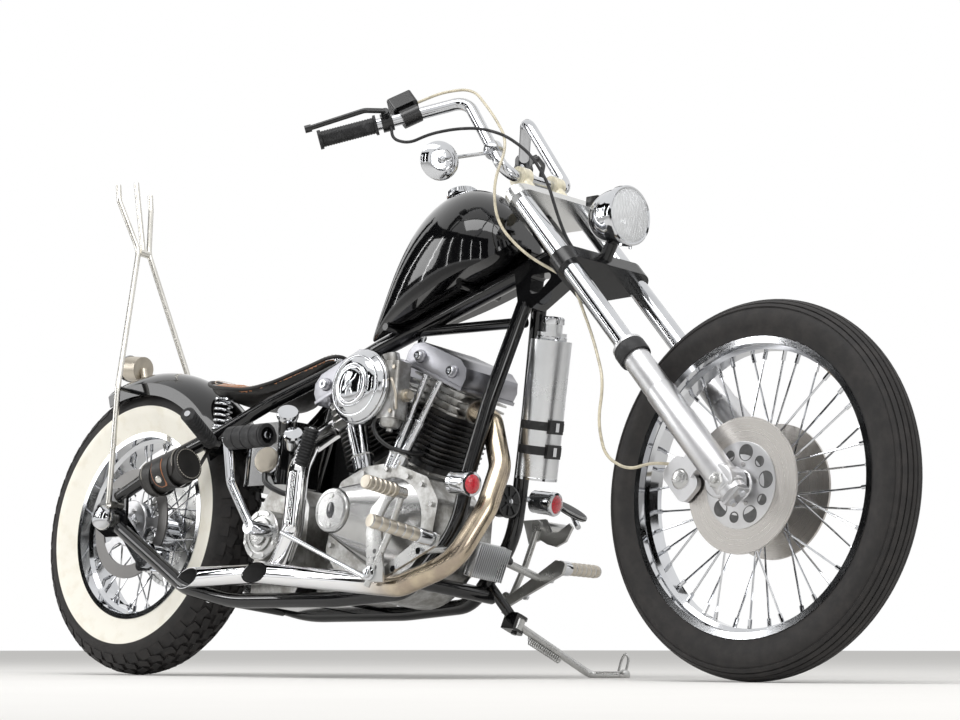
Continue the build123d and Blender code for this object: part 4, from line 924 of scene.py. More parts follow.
rockers = Piece("rockerCovers", "rocker", "chrome")
rockerOutline = [(-90, 0), (-93, 26), (-84, 46), (-60, 58), (60, 58), (84, 46), (93, 26), (90, 0)]
for way in (-1, 1):
    turned = bike @ Matrix.Translation((826, 0, 300)) @ Matrix.Rotation(math.radians(22.5 * way), 4, "Y")
    upright = turned @ Matrix.Translation((0, 0, 334)) @ Matrix.Rotation(math.radians(90), 4, "X")
    rockers.slab(upright, rockerOutline, -66, 92)
    rockers.slab(upright, [(-94, -1), (-94, 7), (94, 7), (94, -1)], -68, 95)
    for x, z, r in ((-52, 28, 14), (52, 28, 14)):
        where = upright @ Matrix.Translation((x, z, 92))
        rockers.lathe(where, [(r, -2), (r, 4), (r - 2, 6), (0, 6)], 36)
rockers.finish("frame", "alloy", ("rocker_boxes",), bevel=3.0)
rockerBolts = []
for way in (-1, 1):
    for x, z in ((-52, 362), (52, 362)):
        rockerBolts.append(seat(bike, bankPoint(way, x, -98, z), (0, -1, 0)))
    for x in (-80, 80):
        for y in (-70, 40):
            rockerBolts.append(seat(bike, bankPoint(way, x, y, 341), bankPoint(way, 0, 0, 1) - bankPoint(way, 0, 0, 0)))
socketHeads = Piece("rockerSockets", "chrome", "soot")
for place in rockerBolts[:2] + rockerBolts[6:8]:
    socketHeads.lathe(place, [(9.5, -1), (9.5, 6), (8.5, 7.4), (5.4, 7.4), (5.0, 3), (0, 3)], 24)
socketHeads.finish("frame", "chrome")
repeated("headBolts", "steel", headShape, rockerBolts[2:6] + rockerBolts[8:], "frame", "steel",
         sides=6, radius=6.5, height=7.0)
pointsSeat = seat(bike, (800, -186, 320), (0, -1, 0))
points = Piece("pointsCover", "alloy", "cream")
points.lathe(pointsSeat, [(46, -4), (47, 0), (46.5, 6), (44, 9.5), (38, 10.4), (37, 9.6), (20, 9.8), (0, 10)], 64)
points.lathe(pointsSeat @ Matrix.Diagonal((0.62, 1, 1, 1)), [(17, 9.6), (17, 10.8), (15.5, 11.3), (0, 11.3)], 48, 1)
points.finish("frame", "alloy")
repeated("pointsScrews", "steel", headShape, [pointsSeat @ Matrix.Translation((0, s * 30, 9.6)) for s in (-1, 1)],
         "frame", "steel", sides=12, radius=4.2, height=2.0)
caseScrews = [(722, 262), (740, 380), (800, 410), (868, 416), (930, 398), (972, 380), (1004, 338), (996, 272),
              (952, 226), (900, 200), (828, 196), (768, 202)]
repeated("caseScrews", "steel", headShape, sideScrews(caseScrews, -110), "frame", "steel",
         sides=10, radius=5.4, height=6.0)
kickCover = Piece("kickCoverRings", "steel")
kickCover.lathe(seat(bike, (545, -149.5, 284), (0, -1, 0)), [(53, 0), (51, 3), (42, 4), (41, 1), (37, 1), (36, 7), (29, 8),
                (28, 4), (24, 4), (23, 11), (16, 12), (0, 12)], 56)
kickCover.finish("frame", "alloy")
gearScrews = [(545 + 47 * math.cos(math.radians(a)), 284 + 47 * math.sin(math.radians(a))) for a in range(20, 360, 45)]
repeated("gearScrews", "steel", headShape, sideScrews(gearScrews, -150), "frame", "steel", sides=10, radius=4.4, height=5.0)
primaryScrews = [Vector((x, y)) for x, y in [(c.x, c.y) for c in evenly(hullPath([(826, 300, 80), (568, 304, 72)], 90), 14)]]
repeated("primaryScrews", "steel", headShape, sideScrews([(p.x, p.y) for p in primaryScrews], 159, 1), "frame", "steel",
         sides=10, radius=5.0, height=4.5)
collars = []
for way, foot, top in [(1, (872, -98, 440), (940, -84, 640)), (1, (894, -98, 436), (985, -84, 622)),
                       (-1, (792, -98, 440), (722, -84, 640)), (-1, (770, -98, 436), (676, -84, 622))]:
    line = (Vector(top) - Vector(foot)).normalized()
    collars += [(seat(bike, Vector(foot) + line * d, line), r) for d, r in ((12, 16.5), (88, 11.5))]
repeated("tappetRings", "steel", ringShape, [c[0] for c in collars if c[1] > 12], "frame", "steel", radius=14.5, wire=2.4)
repeated("pushrodRings", "chrome", ringShape, [c[0] for c in collars if c[1] < 12], "frame", "chrome", radius=10.2, wire=2.0)
cleanerSizes = {"radius": 78.0, "rings": 2, "flutes": 12}
cleanerSeat = seat(bike, (819, -155.3, 582), (0, -1, 0))
cleaner = Piece("airCleanerDome", "chrome", "soot")
profile = [(0, -1), (70, -1), (77, 0), (79, 3), (79, 8), (77, 11), (75.5, 12), (75.5, 15), (74, 17)]
for n in range(cleanerSizes["rings"]):
    r = 64 - n * 24
    lift = 16 + 26 * (1 - (r / 78) ** 2)
    profile += [(r + 3.4, lift - 1.6), (r + 1.8, lift + 0.8), (r - 1.8, lift + 1.2), (r - 3.4, lift + 0.6)]
    profile += [(r - d, 16.4 + 26 * (1 - ((r - d) / 78) ** 2)) for d in (7, 11, 15, 19)]
profile += [(15, 41.4), (9, 42.4), (9, 45.4), (7.5, 46.2), (4.4, 46.2), (4.4, 43.6), (0, 43.6)]
cleaner.lathe(cleanerSeat, profile, 80)
# a flat near-black band behind the dome: painted shade between the dome and the engine
cleaner.lathe(cleanerSeat, [(72, -20), (75, -18), (75, -2), (0, -2)], 60, 1)
cleaner.finish("frame", "chrome", ("air_cleaner",), sharp=50)
carb = Piece("carburettorParts", "cast", "brass", "black")
for x, z in ((858, 620), (906, 620), (858, 528), (906, 528)):
    carb.lathe(seat(bike, (x, -155, z), (0, -1, 0)), [(4.6, -1), (4.6, 3), (0, 3)], 6, 1)
carb.lathe(seat(bike, (882, -130, 515), (0, 0, -1)), [(23, -2), (22, 10), (17, 17), (7, 19), (7, 25), (0, 26)], 32)
carb.lathe(seat(bike, (911, -120, 566), (1, -0.1, 0)), [(14, -2), (14, 5), (9, 6), (9, 15), (0, 15)], 24, 1)
carb.tube(bike, smoothed([(900, -156, 596), (912, -164, 590), (922, -160, 560), (917, -150, 532)]), 3, 10, 1)
carb.tube(bike, smoothed([(868, -150, 524), (858, -152, 500), (876, -146, 470), (905, -120, 452), (925, -60, 460),
                          (905, -20, 560), (850, 20, 640), (800, 22, 700)]), 4.6, 12, 2)
carb.finish("frame", "alloy")
fuelTap = Piece("fuelTap", "chrome", "brass")
fuelTap.lathe(seat(bike, (796, 24, 742), (0, 0, -1)), [(0, -8), (9, -8), (9, 12), (7, 14), (7, 36), (4, 40), (0, 42)], 20)
fuelTap.finish("frame", "chrome")
print("engine dressed")

# Exhausts: bent pipes, cut off aslant so that their mouths look outwards
pipeSizes = {"radius": 22.5, "wall": 1.6, "slant": 2.6, "depth": 140.0, "sides": 32}


def filleted(points, bends, steps=10):
    spots = [Vector(p) for p in points]
    line = [spots[0]]
    for before, here, after, bend in zip(spots, spots[1:], spots[2:], bends):
        a, b = (before - here).normalized(), (after - here).normalized()
        half = (math.pi - a.angle(b)) / 2
        middle = here + (a + b).normalized() * bend / math.cos(half)
        first, last = here + a * bend * math.tan(half) - middle, here + b * bend * math.tan(half) - middle
        pin, sweep = first.cross(last), first.angle(last)
        line += [middle + Matrix.Rotation(sweep * n / steps, 3, pin) @ first for n in range(steps + 1)]
    return line + [spots[-1]]


def makePipe(name, node, route, bends):
    line = [bike @ p for p in filleted(route, bends)]
    out = bike.to_3x3() @ Vector((0, -1, 0.12))
    ways = [(line[min(n + 1, len(line) - 1)] - line[max(n - 1, 0)]).normalized() for n in range(len(line))]
    radius, wall, way = pipeSizes["radius"], pipeSizes["wall"], ways[-1]
    rows = [(spot, w, radius, 0) for spot, w in zip(line[:-1], ways)]
    rows += [(line[-1], way, radius, 1), (line[-1], way, radius - wall, 1),
             (line[-1] - way * pipeSizes["depth"], way, radius - wall, 0)]
    side, verts, sides = ways[0].orthogonal().normalized(), [], pipeSizes["sides"]
    for spot, w, reach, cut in rows:
        side = (side - w * side.dot(w)).normalized()
        for n in range(sides):
            a = 2 * math.pi * n / sides
            arm = (side * math.cos(a) + w.cross(side) * math.sin(a)) * reach
            verts.append(spot + arm - w * cut * pipeSizes["slant"] * arm.dot(out))
    # the mouth's inner wall and the disc closing it 140 mm in are near-black: soot, and painted shade for the pipe's
    # dark depth
    pipe = Piece(name, "header", "soot")
    last = len(rows) - 1
    for row in range(last):
        faces = [(row * sides + n, row * sides + (n + 1) % sides, (row + 1) * sides + (n + 1) % sides, (row + 1) * sides + n)
                 for n in range(sides)]
        pipe.add([verts[v] for v in range(len(verts))], faces, 1 if row == last - 1 else 0)
    pipe.add(verts, [tuple(last * sides + n for n in range(sides)), tuple(reversed(range(sides)))], 1)
    return pipe.finish("frame", "chrome", (node,), sharp=40)


makePipe("frontPipe", "exhaust_front", [(1022, -24, 543.5), (1068.3, -24, 524.4), (1122, -44, 420), (1132, -84, 330),
         (1104, -136, 214), (985, -162, 165), (578, -188, 197)], [40, 80, 90, 90, 70])
makePipe("rearPipe", "exhaust_rear", [(630, -24, 543.5), (606, -24, 533.5), (612, -100, 478), (642, -150, 420),
         (642, -150, 290), (596, -140, 204), (316, -149, 196)], [28, 60, 50, 60, 60])

# Chain: one link on each pitch of both sprockets' loop
chainSizes = {"pitch": 15.9, "pin": 4.6, "plate": 11.5}


def linkShape(tree, source):
    shapes = tree.nodes.new("GeometryNodeJoinGeometry")
    for offset in (-6.4, 6.4):
        plate, place = tree.nodes.new("GeometryNodeMeshCube"), tree.nodes.new("GeometryNodeTransform")
        plate.inputs["Size"].default_value = (15.4 * mm, 1.9 * mm, 9.6 * mm)
        place.inputs["Translation"].default_value = (0, offset * mm, 0)
        tree.links.new(plate.outputs["Mesh"], place.inputs["Geometry"])
        tree.links.new(place.outputs["Geometry"], shapes.inputs["Geometry"])
    pin, lay = tree.nodes.new("GeometryNodeMeshCylinder"), tree.nodes.new("GeometryNodeTransform")
    pin.inputs["Vertices"].default_value = 10
    lay.inputs["Rotation"].default_value = (math.radians(90), 0, 0)
    tree.links.new(source.outputs["Pin"], pin.inputs["Radius"])
    tree.links.new(source.outputs["Across"], pin.inputs["Depth"])
    tree.links.new(pin.outputs["Mesh"], lay.inputs["Geometry"])
    tree.links.new(lay.outputs["Geometry"], shapes.inputs["Geometry"])
    return shapes.outputs["Geometry"]


loop = hullPath([(0, 340.5, 123.5), (560, 300, 49.5)], 720)
count = round(sum((b - a).length for a, b in zip(loop, loop[1:] + loop[:1])) / chainSizes["pitch"])
spots = evenly(loop, count)
links = []
for n, spot in enumerate(spots):
    ahead = spots[(n + 1) % count] - spots[n - 1]
    links.append(seat(bike, (spot.x, 78, spot.y), (-ahead.y, 0, ahead.x), (ahead.x, 0, ahead.y)))
repeated("chainLinks", "steel", linkShape, links, "frame", "steel", ("drive_chain",), pin=chainSizes["pin"], across=17.0)
teeth = [seat(rearWheel, (118 * math.cos(2 * math.pi * n / 48), 78, 118 * math.sin(2 * math.pi * n / 48)),
              (math.cos(2 * math.pi * n / 48), 0, math.sin(2 * math.pi * n / 48)), (0, 1, 0)) for n in range(48)]
repeated("sprocketTeeth", "steel", blockShape, teeth, "rear_wheel", "steel", length=4.5, width=6.5, depth=8.0)

# Pegs, kick pedal and controls
peg = {"bands": 6, "radius": 13.6}
pegs = Piece("footPegs", "brass", "chrome")
for side in (-1, 1):
    start, end = Vector((1090, side * 191, 252)), Vector((1066, side * 340, 266))
    where, length = seat(bike, start, end - start), (end - start).length
    pegs.lathe(where, [(0, 5), (15, 5), (15.6, 8), (15.6, 34), (14, 36), (0, 36)], 32, 1)
    step = (length - 38) / peg["bands"]
    profile = [(0, 36)]
    for n in range(peg["bands"]):
        at = 36 + n * step
        profile += [(11.4, at), (peg["radius"], at + 2), (peg["radius"] + 0.6, at + step * 0.5), (peg["radius"], at + step - 3),
                    (11.4, at + step - 1)]
    pegs.lathe(where, profile + [(13, length - 2), (13, length), (0, length + 0.5)], 32)
for foot, tip in (((1011, -222, 346), (1008, -306, 351)),):
    where, length = seat(bike, foot, Vector(tip) - Vector(foot)), 84
    profile = [(0, 0), (12, 0)]
    for n in range(6):
        profile += [(12.2, 2 + n * 13.4), (14.4, 4 + n * 13.4), (14.4, 12 + n * 13.4), (12.2, 14 + n * 13.4)]
    pegs.lathe(where, profile + [(13, 84), (0, 84.5)], 32)
pegs.finish("frame", "brass")
pedals = Piece("ribbedRubbers", "rubber", "chrome")
for start, end, radius, ribs in [((512, -236, 478), (632, -238, 478), 24, 4), ((644, -150, 417), (671, -150, 506), 15, 12), ((322, -126, 500), (366, -238, 540), 16, 10),
                                 ((322, 126, 500), (366, 238, 540), 16, 10)]:
    start, end = Vector(start), Vector(end)
    where, length = seat(bike, start, end - start), (end - start).length
    profile = [(0, 2), (radius - 1, 2)]
    for n in range(ribs):
        at = 4 + n * (length - 10) / ribs
        profile += [(radius - 1.4, at), (radius + 0.8, at + 1.4), (radius + 0.8, at + (length - 10) / ribs - 2.6),
                    (radius - 1.4, at + (length - 10) / ribs - 1.2)]
    pedals.lathe(where, profile + [(radius + 1, length - 5), (radius + 1, length - 1), (radius - 3, length), (0, length)], 32)
    pedals.lathe(where, [(0, length), (7, length), (7, length + 2.5), (0, length + 3)], 20, 1)
pedals.finish("frame", "black_rubber")
brakeArm = [(940, 168), (924, 267), (932, 316), (968, 348), (992, 367), (1004, 346), (978, 325), (964, 301), (968, 262), (985, 167)]
clutchArm = [(965, 358), (1028, 359), (1047, 330), (1066, 330), (1095, 348), (1104, 339), (1088, 310), (1062, 299), (1038, 305), (1017, 315), (986, 307)]
arms = Piece("pedalArms", "steel", "shade", "rubber", "chrome")
upright = bike @ Matrix.Rotation(math.radians(90), 4, "X")
arms.slab(upright, brakeArm, 203, 210)
arms.slab(upright, clutchArm, -215, -208)
# three small grey discs on the brake arm stand for holes: painted shade
for x, z in [(954, 229), (957, 214), (960, 196)]:
    arms.lathe(seat(bike, (x, -210, z), (0, -1, 0)), [(0, 0.4), (4.4, 0.4), (5, 0)], 16, 1)
padSeat = seat(bike, (1049, 262, 383), (0.5, 0.05, 0.85))
arms.lathe(padSeat, [(0, -5), (35, -5), (38, -2), (38, 4), (36, 6), (0, 6)], 44, 2)
arms.tube(bike, [(1093, 240, 344), (1049, 262, 383)], 6, 12, 3)
arms.lathe(seat(bike, (946, -210, 184), (0, -1, 0)), [(15, -3), (15, 4), (9, 5), (9, 11), (0, 11)], 28, 3)
arms.finish("frame", "steel", bevel=0.8)
plateBolts = sideScrews([(1000, 194), (1066, 228)], -195) + sideScrews([(1000, 194), (1066, 228)], 195, 1)
repeated("plateBolts", "chrome", headShape, plateBolts, "frame", "chrome", sides=6, radius=7.5, height=6.0)

# Tool roll with its end seams, straps and snaps
rollSizes = {"radius": 38.0, "stitches": 40}
rollStart, rollEnd = Vector((196, -178, 412)), Vector((316, -178, 444))
rollSeat, rollLong = seat(bike, rollStart, rollEnd - rollStart), (rollEnd - rollStart).length
roll = Piece("toolRoll", "hide", "strap", "nickel")
profile = [(0, 1), (29, 0.5), (33, -0.5), (36, 0), (38.6, 2), (38.8, 4), (37.6, 6)]
profile += [(37.8 + 0.9 * math.sin(n * 1.9), 8 + n * (rollLong - 16) / 12) for n in range(13)]
profile += [(37.6, rollLong - 6), (38.8, rollLong - 4), (38.6, rollLong - 2), (36, rollLong), (33, rollLong + 0.5),
            (29, rollLong - 0.5), (0, rollLong - 1)]
roll.lathe(rollSeat, profile, 56)


def wrap(piece, radius, thick, turns, reach, look=0, ends=0.0):
    # a bent strip of leather on the roll, over some degrees and part of its length
    first, last = (math.radians(t) for t in turns)
    verts, faces, steps = [], [], 20
    for n in range(steps + 1):
        a = first + (last - first) * n / steps
        pull = ends * max(0.0, (n / steps - 0.7) / 0.3) ** 2
        for r, z in ((radius, reach[0] + pull), (radius + thick, reach[0] + pull), (radius + thick, reach[1] - pull),
                     (radius, reach[1] - pull)):
            verts.append(rollSeat @ Vector((r * math.cos(a), r * math.sin(a), z)))
    for n in range(steps):
        faces += [(4 * n + k, 4 * n + 4 + k, 4 * n + 4 + (k + 1) % 4, 4 * n + (k + 1) % 4) for k in range(4)]
    piece.add(verts, faces + [(0, 1, 2, 3), tuple(4 * steps + k for k in (3, 2, 1, 0))], look)


wrap(roll, 38.2, 2.4, (-190, -52), (7, rollLong - 7), 0, 16)
wrap(roll, 39.6, 1.8, (-118, -26), (rollLong / 2 - 17, rollLong / 2 + 17), 1, 9)
wrap(roll, 40.2, 2.4, (-118, -30), (rollLong / 2 - 14.6, rollLong / 2 + 14.6), 0, 9)
snapTurn = math.radians(-56)
snap = seat(rollSeat, (42.4 * math.cos(snapTurn), 42.4 * math.sin(snapTurn), rollLong / 2),
            (math.cos(snapTurn), math.sin(snapTurn), 0))
roll.lathe(snap, [(8.6, -1), (8.6, 1), (7, 3), (4, 4.4), (0, 4.8)], 28, 2)
for x in (222, 280):
    tube = (-117.8 + (x - 230) * 0.097, 484.5 + (x - 230) * 0.369)
    path = hullPath([(-178, 412 + (x - 196) * 32 / 120, 40.5), (tube[0], tube[1], 17.6)], 64)
    verts, faces = [], []
    for spot, (grow, wide) in ((s, g) for s in path for g in ((0, 0), (2.4, 0), (2.4, 14), (0, 14))):
        out = (spot - Vector((-150, 440))).normalized()
        verts.append(bike @ Vector((x - 1 + wide, spot.x + out.x * grow, spot.y + out.y * grow)))
    for n in range(len(path)):
        m = (n + 1) % len(path)
        faces += [(4 * n + k, 4 * m + k, 4 * m + (k + 1) % 4, 4 * n + (k + 1) % 4) for k in range(4)]
    roll.add(verts, faces, 0)
roll.finish("frame", "black_leather", ("tool_roll",))
flapEdge = []
for n in range(26):
    for level in (11, rollLong - 11):
        a = math.radians(-185 + n * 4.2)
        flapEdge.append(rollSeat @ Matrix.Rotation(a, 4, "Z") @ Matrix.Translation((40.8, 0, level)) @
                        Matrix.Rotation(math.radians(90), 4, "Z"))
repeated("flapStitches", "white", blockShape, flapEdge, "frame", "black_leather", length=2.2, width=0.9, depth=0.8)
seams = [rollSeat @ Matrix.Rotation(2 * math.pi * n / 34, 4, "Z") @ Matrix.Translation((33.4, 0, level)) @
         Matrix.Rotation(math.radians(90), 4, "Z") for n in range(34) for level in (-0.6, rollLong + 0.6)]
repeated("rollStitches", "white", blockShape, seams, "frame", "black_leather", length=3.8, width=1.1, depth=1.0)
print("bag and pegs made")

# Marker lamps, tail lamp, horn, regulator and bottle straps
bullets = Piece("markerBullets", "chrome")
reds = Piece("markerReds", "red")
for back, front in (((1084, -135, 375), (1138, -140, 368)), ((1062, 130, 382), (1114, 140, 375))):
    where, length = seat(bike, back, Vector(front) - Vector(back)), (Vector(front) - Vector(back)).length
    bullets.lathe(where, [(0, -9), (8, -8), (17, -4), (22, 4), (23.6, 14), (23.6, length - 10), (25, length - 9),
                          (25.4, length - 2), (24, length + 1.6), (19.4, length + 2), (19, length - 2)], 44)
    reds.lathe(where, [(0, length - 1), (19, length - 1), (19.2, length + 2), (16, length + 6), (9, length + 8.6),
                       (0, length + 9.4)], 36)
tailSeat = seat(bike, (-153.8, 0, 730.7), (-52, 0, 6))
bullets.lathe(tailSeat, [(28, -3), (31.5, -3), (32.5, 0), (31.5, 4), (27, 5), (26, 1)], 44)
reds.lathe(tailSeat, [(0, 1), (27, 1), (26.6, 4), (20, 8), (10, 10.5), (0, 11)], 36)
bullets.finish("frame", "chrome")
reds.finish("frame", "red_lens", ("marker_lenses",))
hornSeat = seat(bike, (1092, 20, 362), (1, 0, 0), (0, 0, 1))
hornFace = Piece("hornFace", "black", "chrome")
hornFace.lathe(hornSeat, [(31, -4), (34, -3), (34, 2), (30, 3.4), (28, 1.4), (11, 1.4), (10, 4), (0, 4.5)], 44)
for n in range(8):
    arm = hornSeat @ Matrix.Rotation(math.pi * n / 4, 4, "Z")
    hornFace.slab(arm, [(9, -1.6), (29, -3), (29, 3), (9, 1.6)], 0, 4)
hornFace.lathe(hornSeat, [(0, 4), (5.5, 4), (5.5, 8), (0, 8.5)], 6, 1)
hornFace.finish("frame", "black_paint")
regulatorSizes = {"fins": 16, "wide": 92.0, "high": 72.0}
block = bike @ Matrix.Translation((1066, 0, 236)) @ Matrix.Rotation(math.radians(18), 4, "Y")
fins = Piece("regulatorFins", "brushed")
fins.slab(block, [(-13, -46), (-4, -46), (-4, 46), (-13, 46)], -36, 36)
for n in range(regulatorSizes["fins"]):
    y = -45 + n * 90 / (regulatorSizes["fins"] - 1)
    fins.slab(block, [(-5, y - 1.1), (12.8, y - 0.8), (12.8, y + 0.8), (-5, y + 1.1)], -35, 35)
fins.finish("frame", "alloy", ("regulator",), bevel=0.4)
bottleLow, bottleHigh = Vector((1128, 59, 412)), Vector((1175, 19, 690))
bottleSeat = seat(bike, bottleLow, bottleHigh - bottleLow, (0.976, -0.208, 0))
straps = Piece("bottleStraps", "rubber", "black", "chrome")
for level in (52, 102):
    straps.lathe(bottleSeat, [(42.3, level), (44.4, level + 0.5), (44.4, level + 17.5), (42.3, level + 18)], 64)
    buckle = bottleSeat @ Matrix.Translation((44, 0, level + 9))
    straps.slab(buckle @ Matrix.Rotation(math.radians(90), 4, "Y"), [(-14, -17), (14, -17), (14, 17), (-14, 17)], -3, 6, 1)
    straps.slab(buckle @ Matrix.Rotation(math.radians(90), 4, "Y"), [(-9, -4), (9, -4), (9, 4), (-9, 4)], 5, 9, 2)
straps.lathe(bottleSeat, [(19, 318), (22, 318), (22.6, 320), (22.6, 330), (20, 333), (0, 334)], 40, 2)
straps.lathe(bottleSeat, [(41.6, 0), (42.4, 0), (42.4, 5), (41.6, 6)], 48, 2)
straps.lathe(bottleSeat, [(30.4, 283), (31, 284), (31, 292), (30, 293)], 48, 2)
straps.finish("frame", "black_rubber")

# Rear disc: a ring on five arms
# its steel ring is painted dark grey, as painted shade
rearRing = Piece("rearDiscRing", "rearDisc", "satin")
discSeat = seat(rearWheel, (0, -62, 0), (0, -1, 0))
rearRing.lathe(discSeat, [(97, 0.3), (97, 4.7), (127, 4.7), (127, 0.3), (97, 0.3)], 96)
rearRing.lathe(discSeat, [(24, 0.6), (24, 6.4), (52, 6.4), (54, 4.4), (54, 0.6), (24, 0.6)], 64, 1)
for n in range(5):
    arm = discSeat @ Matrix.Rotation(2 * math.pi * n / 5, 4, "Z")
    rearRing.slab(arm, [(50, -15), (76, -9), (100, -17), (103, 0), (100, 17), (76, 9), (50, 15)], 0.8, 4.2, 1)
rearRing.finish("rear_wheel", "steel", ("rear_disc",))

# Filter canister and cap beside the oil tank
canister = Piece("filterCanister", "brass", "chrome", "black")
canister.lathe(seat(bike, (505, -118, 452), (0.25, -1, 0.1)), [(0, -26), (27, -26), (29, -22), (29, 6), (27, 9), (20, 10), (0, 11)], 48)
canister.lathe(seat(bike, (505, -118, 452), (0.25, -1, 0.1)), [(29, -8), (31, -6), (31, 0), (29, 2)], 48, 1)
canister.lathe(seat(bike, (585, -122, 500), (0.5, -0.6, 0.62)), [(0, -30), (17, -30), (17, -4), (21, -3), (22, 6), (19, 10), (0, 12)], 40, 1)
canister.tube(bike, smoothed([(505, -122, 424), (520, -128, 400), (560, -120, 380), (600, -90, 370)]), 6, 12, 2)
filler = seat(bike, (560, -122, 546), (30, -32, 36))
canister.lathe(filler, [(19, -4), (23, -3), (24, 0), (24, 9), (22, 12), (0, 14)], 40, 1)
for x in (436, 530):
    band = [(x, -111.5, 404), (x, -111.5, 534)]
    canister.tube(bike, band, 3.4, 8, 1)
canister.finish("frame", "brass")

# Rear axle: a round cap on the right and nuts
axleCap = Piece("rearAxleCap", "chrome")
axleCap.lathe(seat(rearWheel, (0, -138, 0), (0, -1, 0)), [(18, 0), (25, 1), (29, 6), (29, 14), (25, 22), (15, 27), (0, 29)], 44)
axleCap.lathe(seat(rearWheel, (0, 142, 0), (0, 1, 0)), [(9, 0), (16, 0), (16, 8), (9, 8), (9, 12), (0, 13)], 6)
axleCap.finish("frame", "chrome")

# Side stand spring and foot
standJoint = joints["side_stand_swing"]
pivot = bike.inverted() @ (Vector(standJoint["pos_m"]) * 1000)
standFoot = Vector((1106, 300, 49))
standWay = (standFoot - pivot).normalized()
hook = pivot + standWay * 34 + Vector((0, 0, -17))
tab = pivot + standWay * 112 + Vector((0, 0, -17))
repeated("standSpring", "steel", coilShape, [seat(bike, hook, tab - hook)], "side_stand", "steel",
         turns=16, radius=6.2, height=float((tab - hook).length), wire=1.5)
standTab = Piece("standTab", "steel")
for spot in (hook, tab):
    standTab.tube(bike, [spot, spot + Vector((0, 0, 15))], 3.2, 10)
foot = Vector((1172, 330, 330 * math.tan(math.radians(7.12)) + 8))
standTab.tube(bike, smoothed([foot + Vector((-14, -4, 2)), foot + Vector((-12, 2, 30)), foot + Vector((-4, 4, 42)),
                              foot + Vector((4, 4, 30)), foot + Vector((2, 0, 2))]), 2.8, 10)
standTab.finish("side_stand", "steel")
print("small parts made")

# Finishes of the CAD nodes that stay
nodeLooks = {
    "front_axle": "steel", "fork_sliders": "satin", "fork_tubes": "chrome", "fork_trees": "trees", "risers": "ivory",
    "handlebar": "chrome", "grips": "rubber", "hand_controls": "black", "headlamp": "chrome", "headlamp_lens": "glass",
    "mirror": "chrome", "front_brakes": "satin", "brake_hose": "hose", "throttle_cable": "rubber",
    "front_wheel": "chrome", "front_tyre": "frontTyre", "front_discs": "frontDisc", "rear_wheel": "chrome",
    "rear_tyre": "rearTyre", "sprocket": "steel", "rear_disc": "rearDisc", "side_stand": "steel",
    "frame_backbone": "paint", "frame_cradle_right": "paint", "frame_cradle_left": "paint", "frame_stays": "paint",
    "frame_cross": "paint", "crankcase": "cast", "cylinders": "iron", "cylinder_heads": "cast",
    "rocker_boxes": "alloy", "cam_cover": "alloy", "pushrods": "chrome", "carburettor": "cast",
    "air_cleaner": "chrome", "gearbox": "cast", "kick_starter": "chrome", "primary_case": "alloy",
    "drive_chain": "steel", "exhaust_front": "header", "exhaust_rear": "header", "fuel_tank": "paint",
    "seat": "tan", "seat_springs": "chrome", "oil_tank": "paint", "rear_fender": "paint", "tail_lamp": "brass",
    "sissy_bar": "nickel", "passenger_pegs": "black", "tool_roll": "hide", "rear_axle": "steel", "rear_brake": "chrome",
    "foot_controls": "steel", "fuel_bottle": "brushed", "marker_lamps": "chrome", "marker_lenses": "red",
    "horn": "black", "regulator": "brushed",
}
for name, obj in frame["nodes"].items():
    obj.data.materials.clear()
    obj.data.materials.append(finishes[nodeLooks[name]])
print("finishes assigned")

# Floor, light and camera
floorMesh = bpy.data.meshes.new("floor")
floorMesh.from_pydata([(-30, -30, 0), (30, -30, 0), (30, 30, 0), (-30, 30, 0)], [], [(0, 1, 2, 3)])
floor = bpy.data.objects.new("floor", floorMesh)
bpy.context.scene.collection.objects.link(floor)
pale = Finish("paleFloor", (0.86, 0.85, 0.83), 0.9, Specular_IOR_Level=0.0)
pale.set("Base Color", pale.tint(pale.grain(1.5, 6), (0.88, 0.87, 0.85), (0.82, 0.81, 0.79)))
floorMesh.materials.append(pale.material)

world = bpy.data.worlds.new("studio")
world.use_nodes = True
bpy.context.scene.world = world
nodes, links = world.node_tree.nodes, world.node_tree.links
plain, seen = nodes["Background"], nodes.new("ShaderNodeBackground")
mix, ray = nodes.new("ShaderNodeMixShader"), nodes.new("ShaderNodeLightPath")
seeing = ray.outputs["Is Camera Ray"]
for other in ("Is Glossy Ray", "Is Transmission Ray"):
    either = nodes.new("ShaderNodeMath")
    either.operation, either.use_clamp = "ADD", True
    links.new(seeing, either.inputs[0])
    links.new(ray.outputs[other], either.inputs[1])
    seeing = either.outputs[0]
plain.inputs["Color"].default_value = (0.62, 0.62, 0.62, 1)
seen.inputs["Color"].default_value = (1, 1, 1, 1)
links.new(seeing, mix.inputs[0])
links.new(plain.outputs[0], mix.inputs[1])
links.new(seen.outputs[0], mix.inputs[2])
links.new(mix.outputs[0], nodes["World Output"].inputs["Surface"])
plain.inputs["Strength"].default_value = 1.0
seen.inputs["Strength"].default_value = 1.0


def softLamp(name, place, aim, size, power):
    light = bpy.data.lights.new(name, "AREA")
    light.shape, light.size, light.size_y, light.energy = "RECTANGLE", size[0], size[1], power
    lamp = bpy.data.objects.new(name, light)
    lamp.location = place
    lamp.rotation_euler = (Vector(aim) - Vector(place)).to_track_quat("-Z", "Y").to_euler()
    bpy.context.scene.collection.objects.link(lamp)


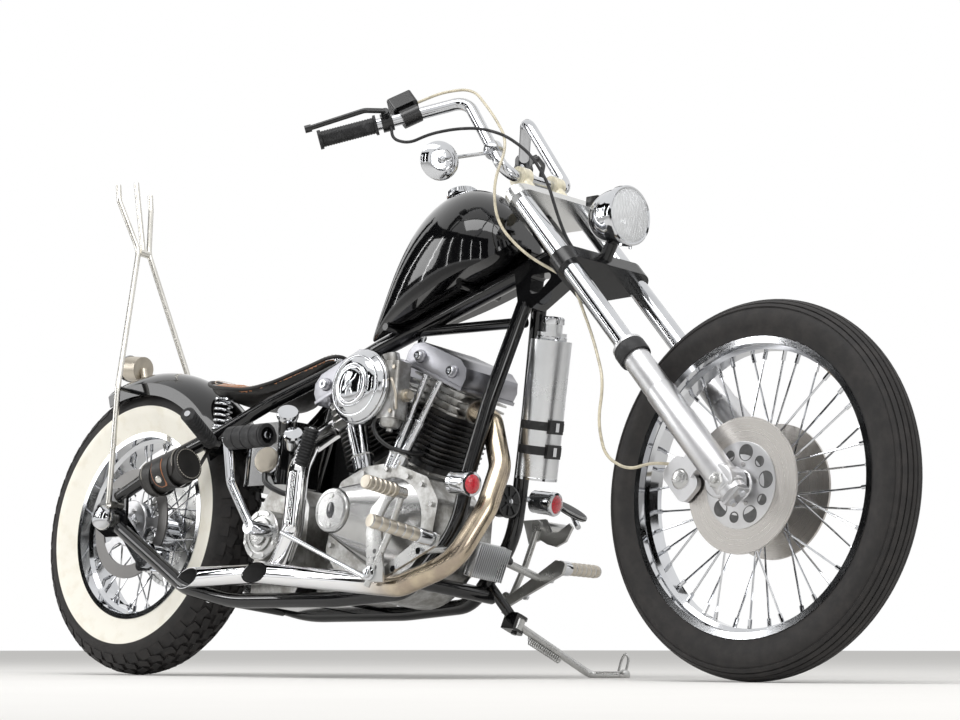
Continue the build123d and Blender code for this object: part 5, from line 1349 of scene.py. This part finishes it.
softLamp("overhead", (0.6, -1.4, 3.6), (0, 0, 0.4), (3.6, 1.2), 60)
softLamp("frontFill", (4.4, -1.4, 1.8), (0.4, 0, 0.5), (1.6, 1.6), 34)
softLamp("rearRim", (-3.4, -2.4, 2.0), (-0.4, 0, 0.5), (1.2, 1.8), 26)

# Black flags round the right-hand side, with thin strip lamps before them, for the gloss to show
flagLook = Finish("flagBlack", (0.0, 0.0, 0.0), 1.0, Specular_IOR_Level=0.0)


def around(turn, reach, height):
    return (reach * math.cos(math.radians(turn)), reach * math.sin(math.radians(turn)), height)


def makeFlag(name, turns, reach, low, high):
    verts = [around(turn, reach, z) for turn in turns for z in (low, high)]
    mesh = bpy.data.meshes.new(name)
    mesh.from_pydata(verts, [], [(2 * n, 2 * n + 2, 2 * n + 3, 2 * n + 1) for n in range(len(turns) - 1)])
    mesh.materials.append(flagLook.material)
    flag = bpy.data.objects.new(name, mesh)
    bpy.context.scene.collection.objects.link(flag)
    flag.visible_camera = flag.visible_diffuse = flag.visible_shadow = flag.visible_transmission = False


makeFlag("sideFlag", range(-178, -50, 8), 6.2, 0.95, 5.4)
for number, turn in enumerate((-40, -30, -14, 2, 18, 40, 62, 84, 106, 128, 150, 168)):
    makeFlag(f"postFlag{number}", (turn, turn + 7), 6.4, 0.02, 5.0 if number % 2 else 3.0)
for name, turn in (("stripA", -160), ("stripB", -142), ("stripC", -126), ("stripD", -110), ("stripE", -94), ("stripF", -76)):
    softLamp(name, around(turn, 5.6, 2.3), (0.0, 0, 0.8), (0.09, 3.0), 9)

pan, tilt = math.radians(42.854), math.radians(6.628)
sight = Vector((-math.sin(pan) * math.cos(tilt), math.cos(pan) * math.cos(tilt), math.sin(tilt)))
aside = Vector((math.cos(pan), math.sin(pan), 0))
camera = bpy.data.objects.new("camera", bpy.data.cameras.new("camera"))
camera.data.lens, camera.data.sensor_width = 92.54, 36
camera.data.clip_start, camera.data.clip_end = 0.05, 200
camera.matrix_world = framed(aside, aside.cross(sight), -sight, Vector((3.5768, -3.7373, 0.0643)))
bpy.context.scene.collection.objects.link(camera)
bpy.context.scene.camera = camera
bpy.context.scene.view_settings.view_transform = "Standard"
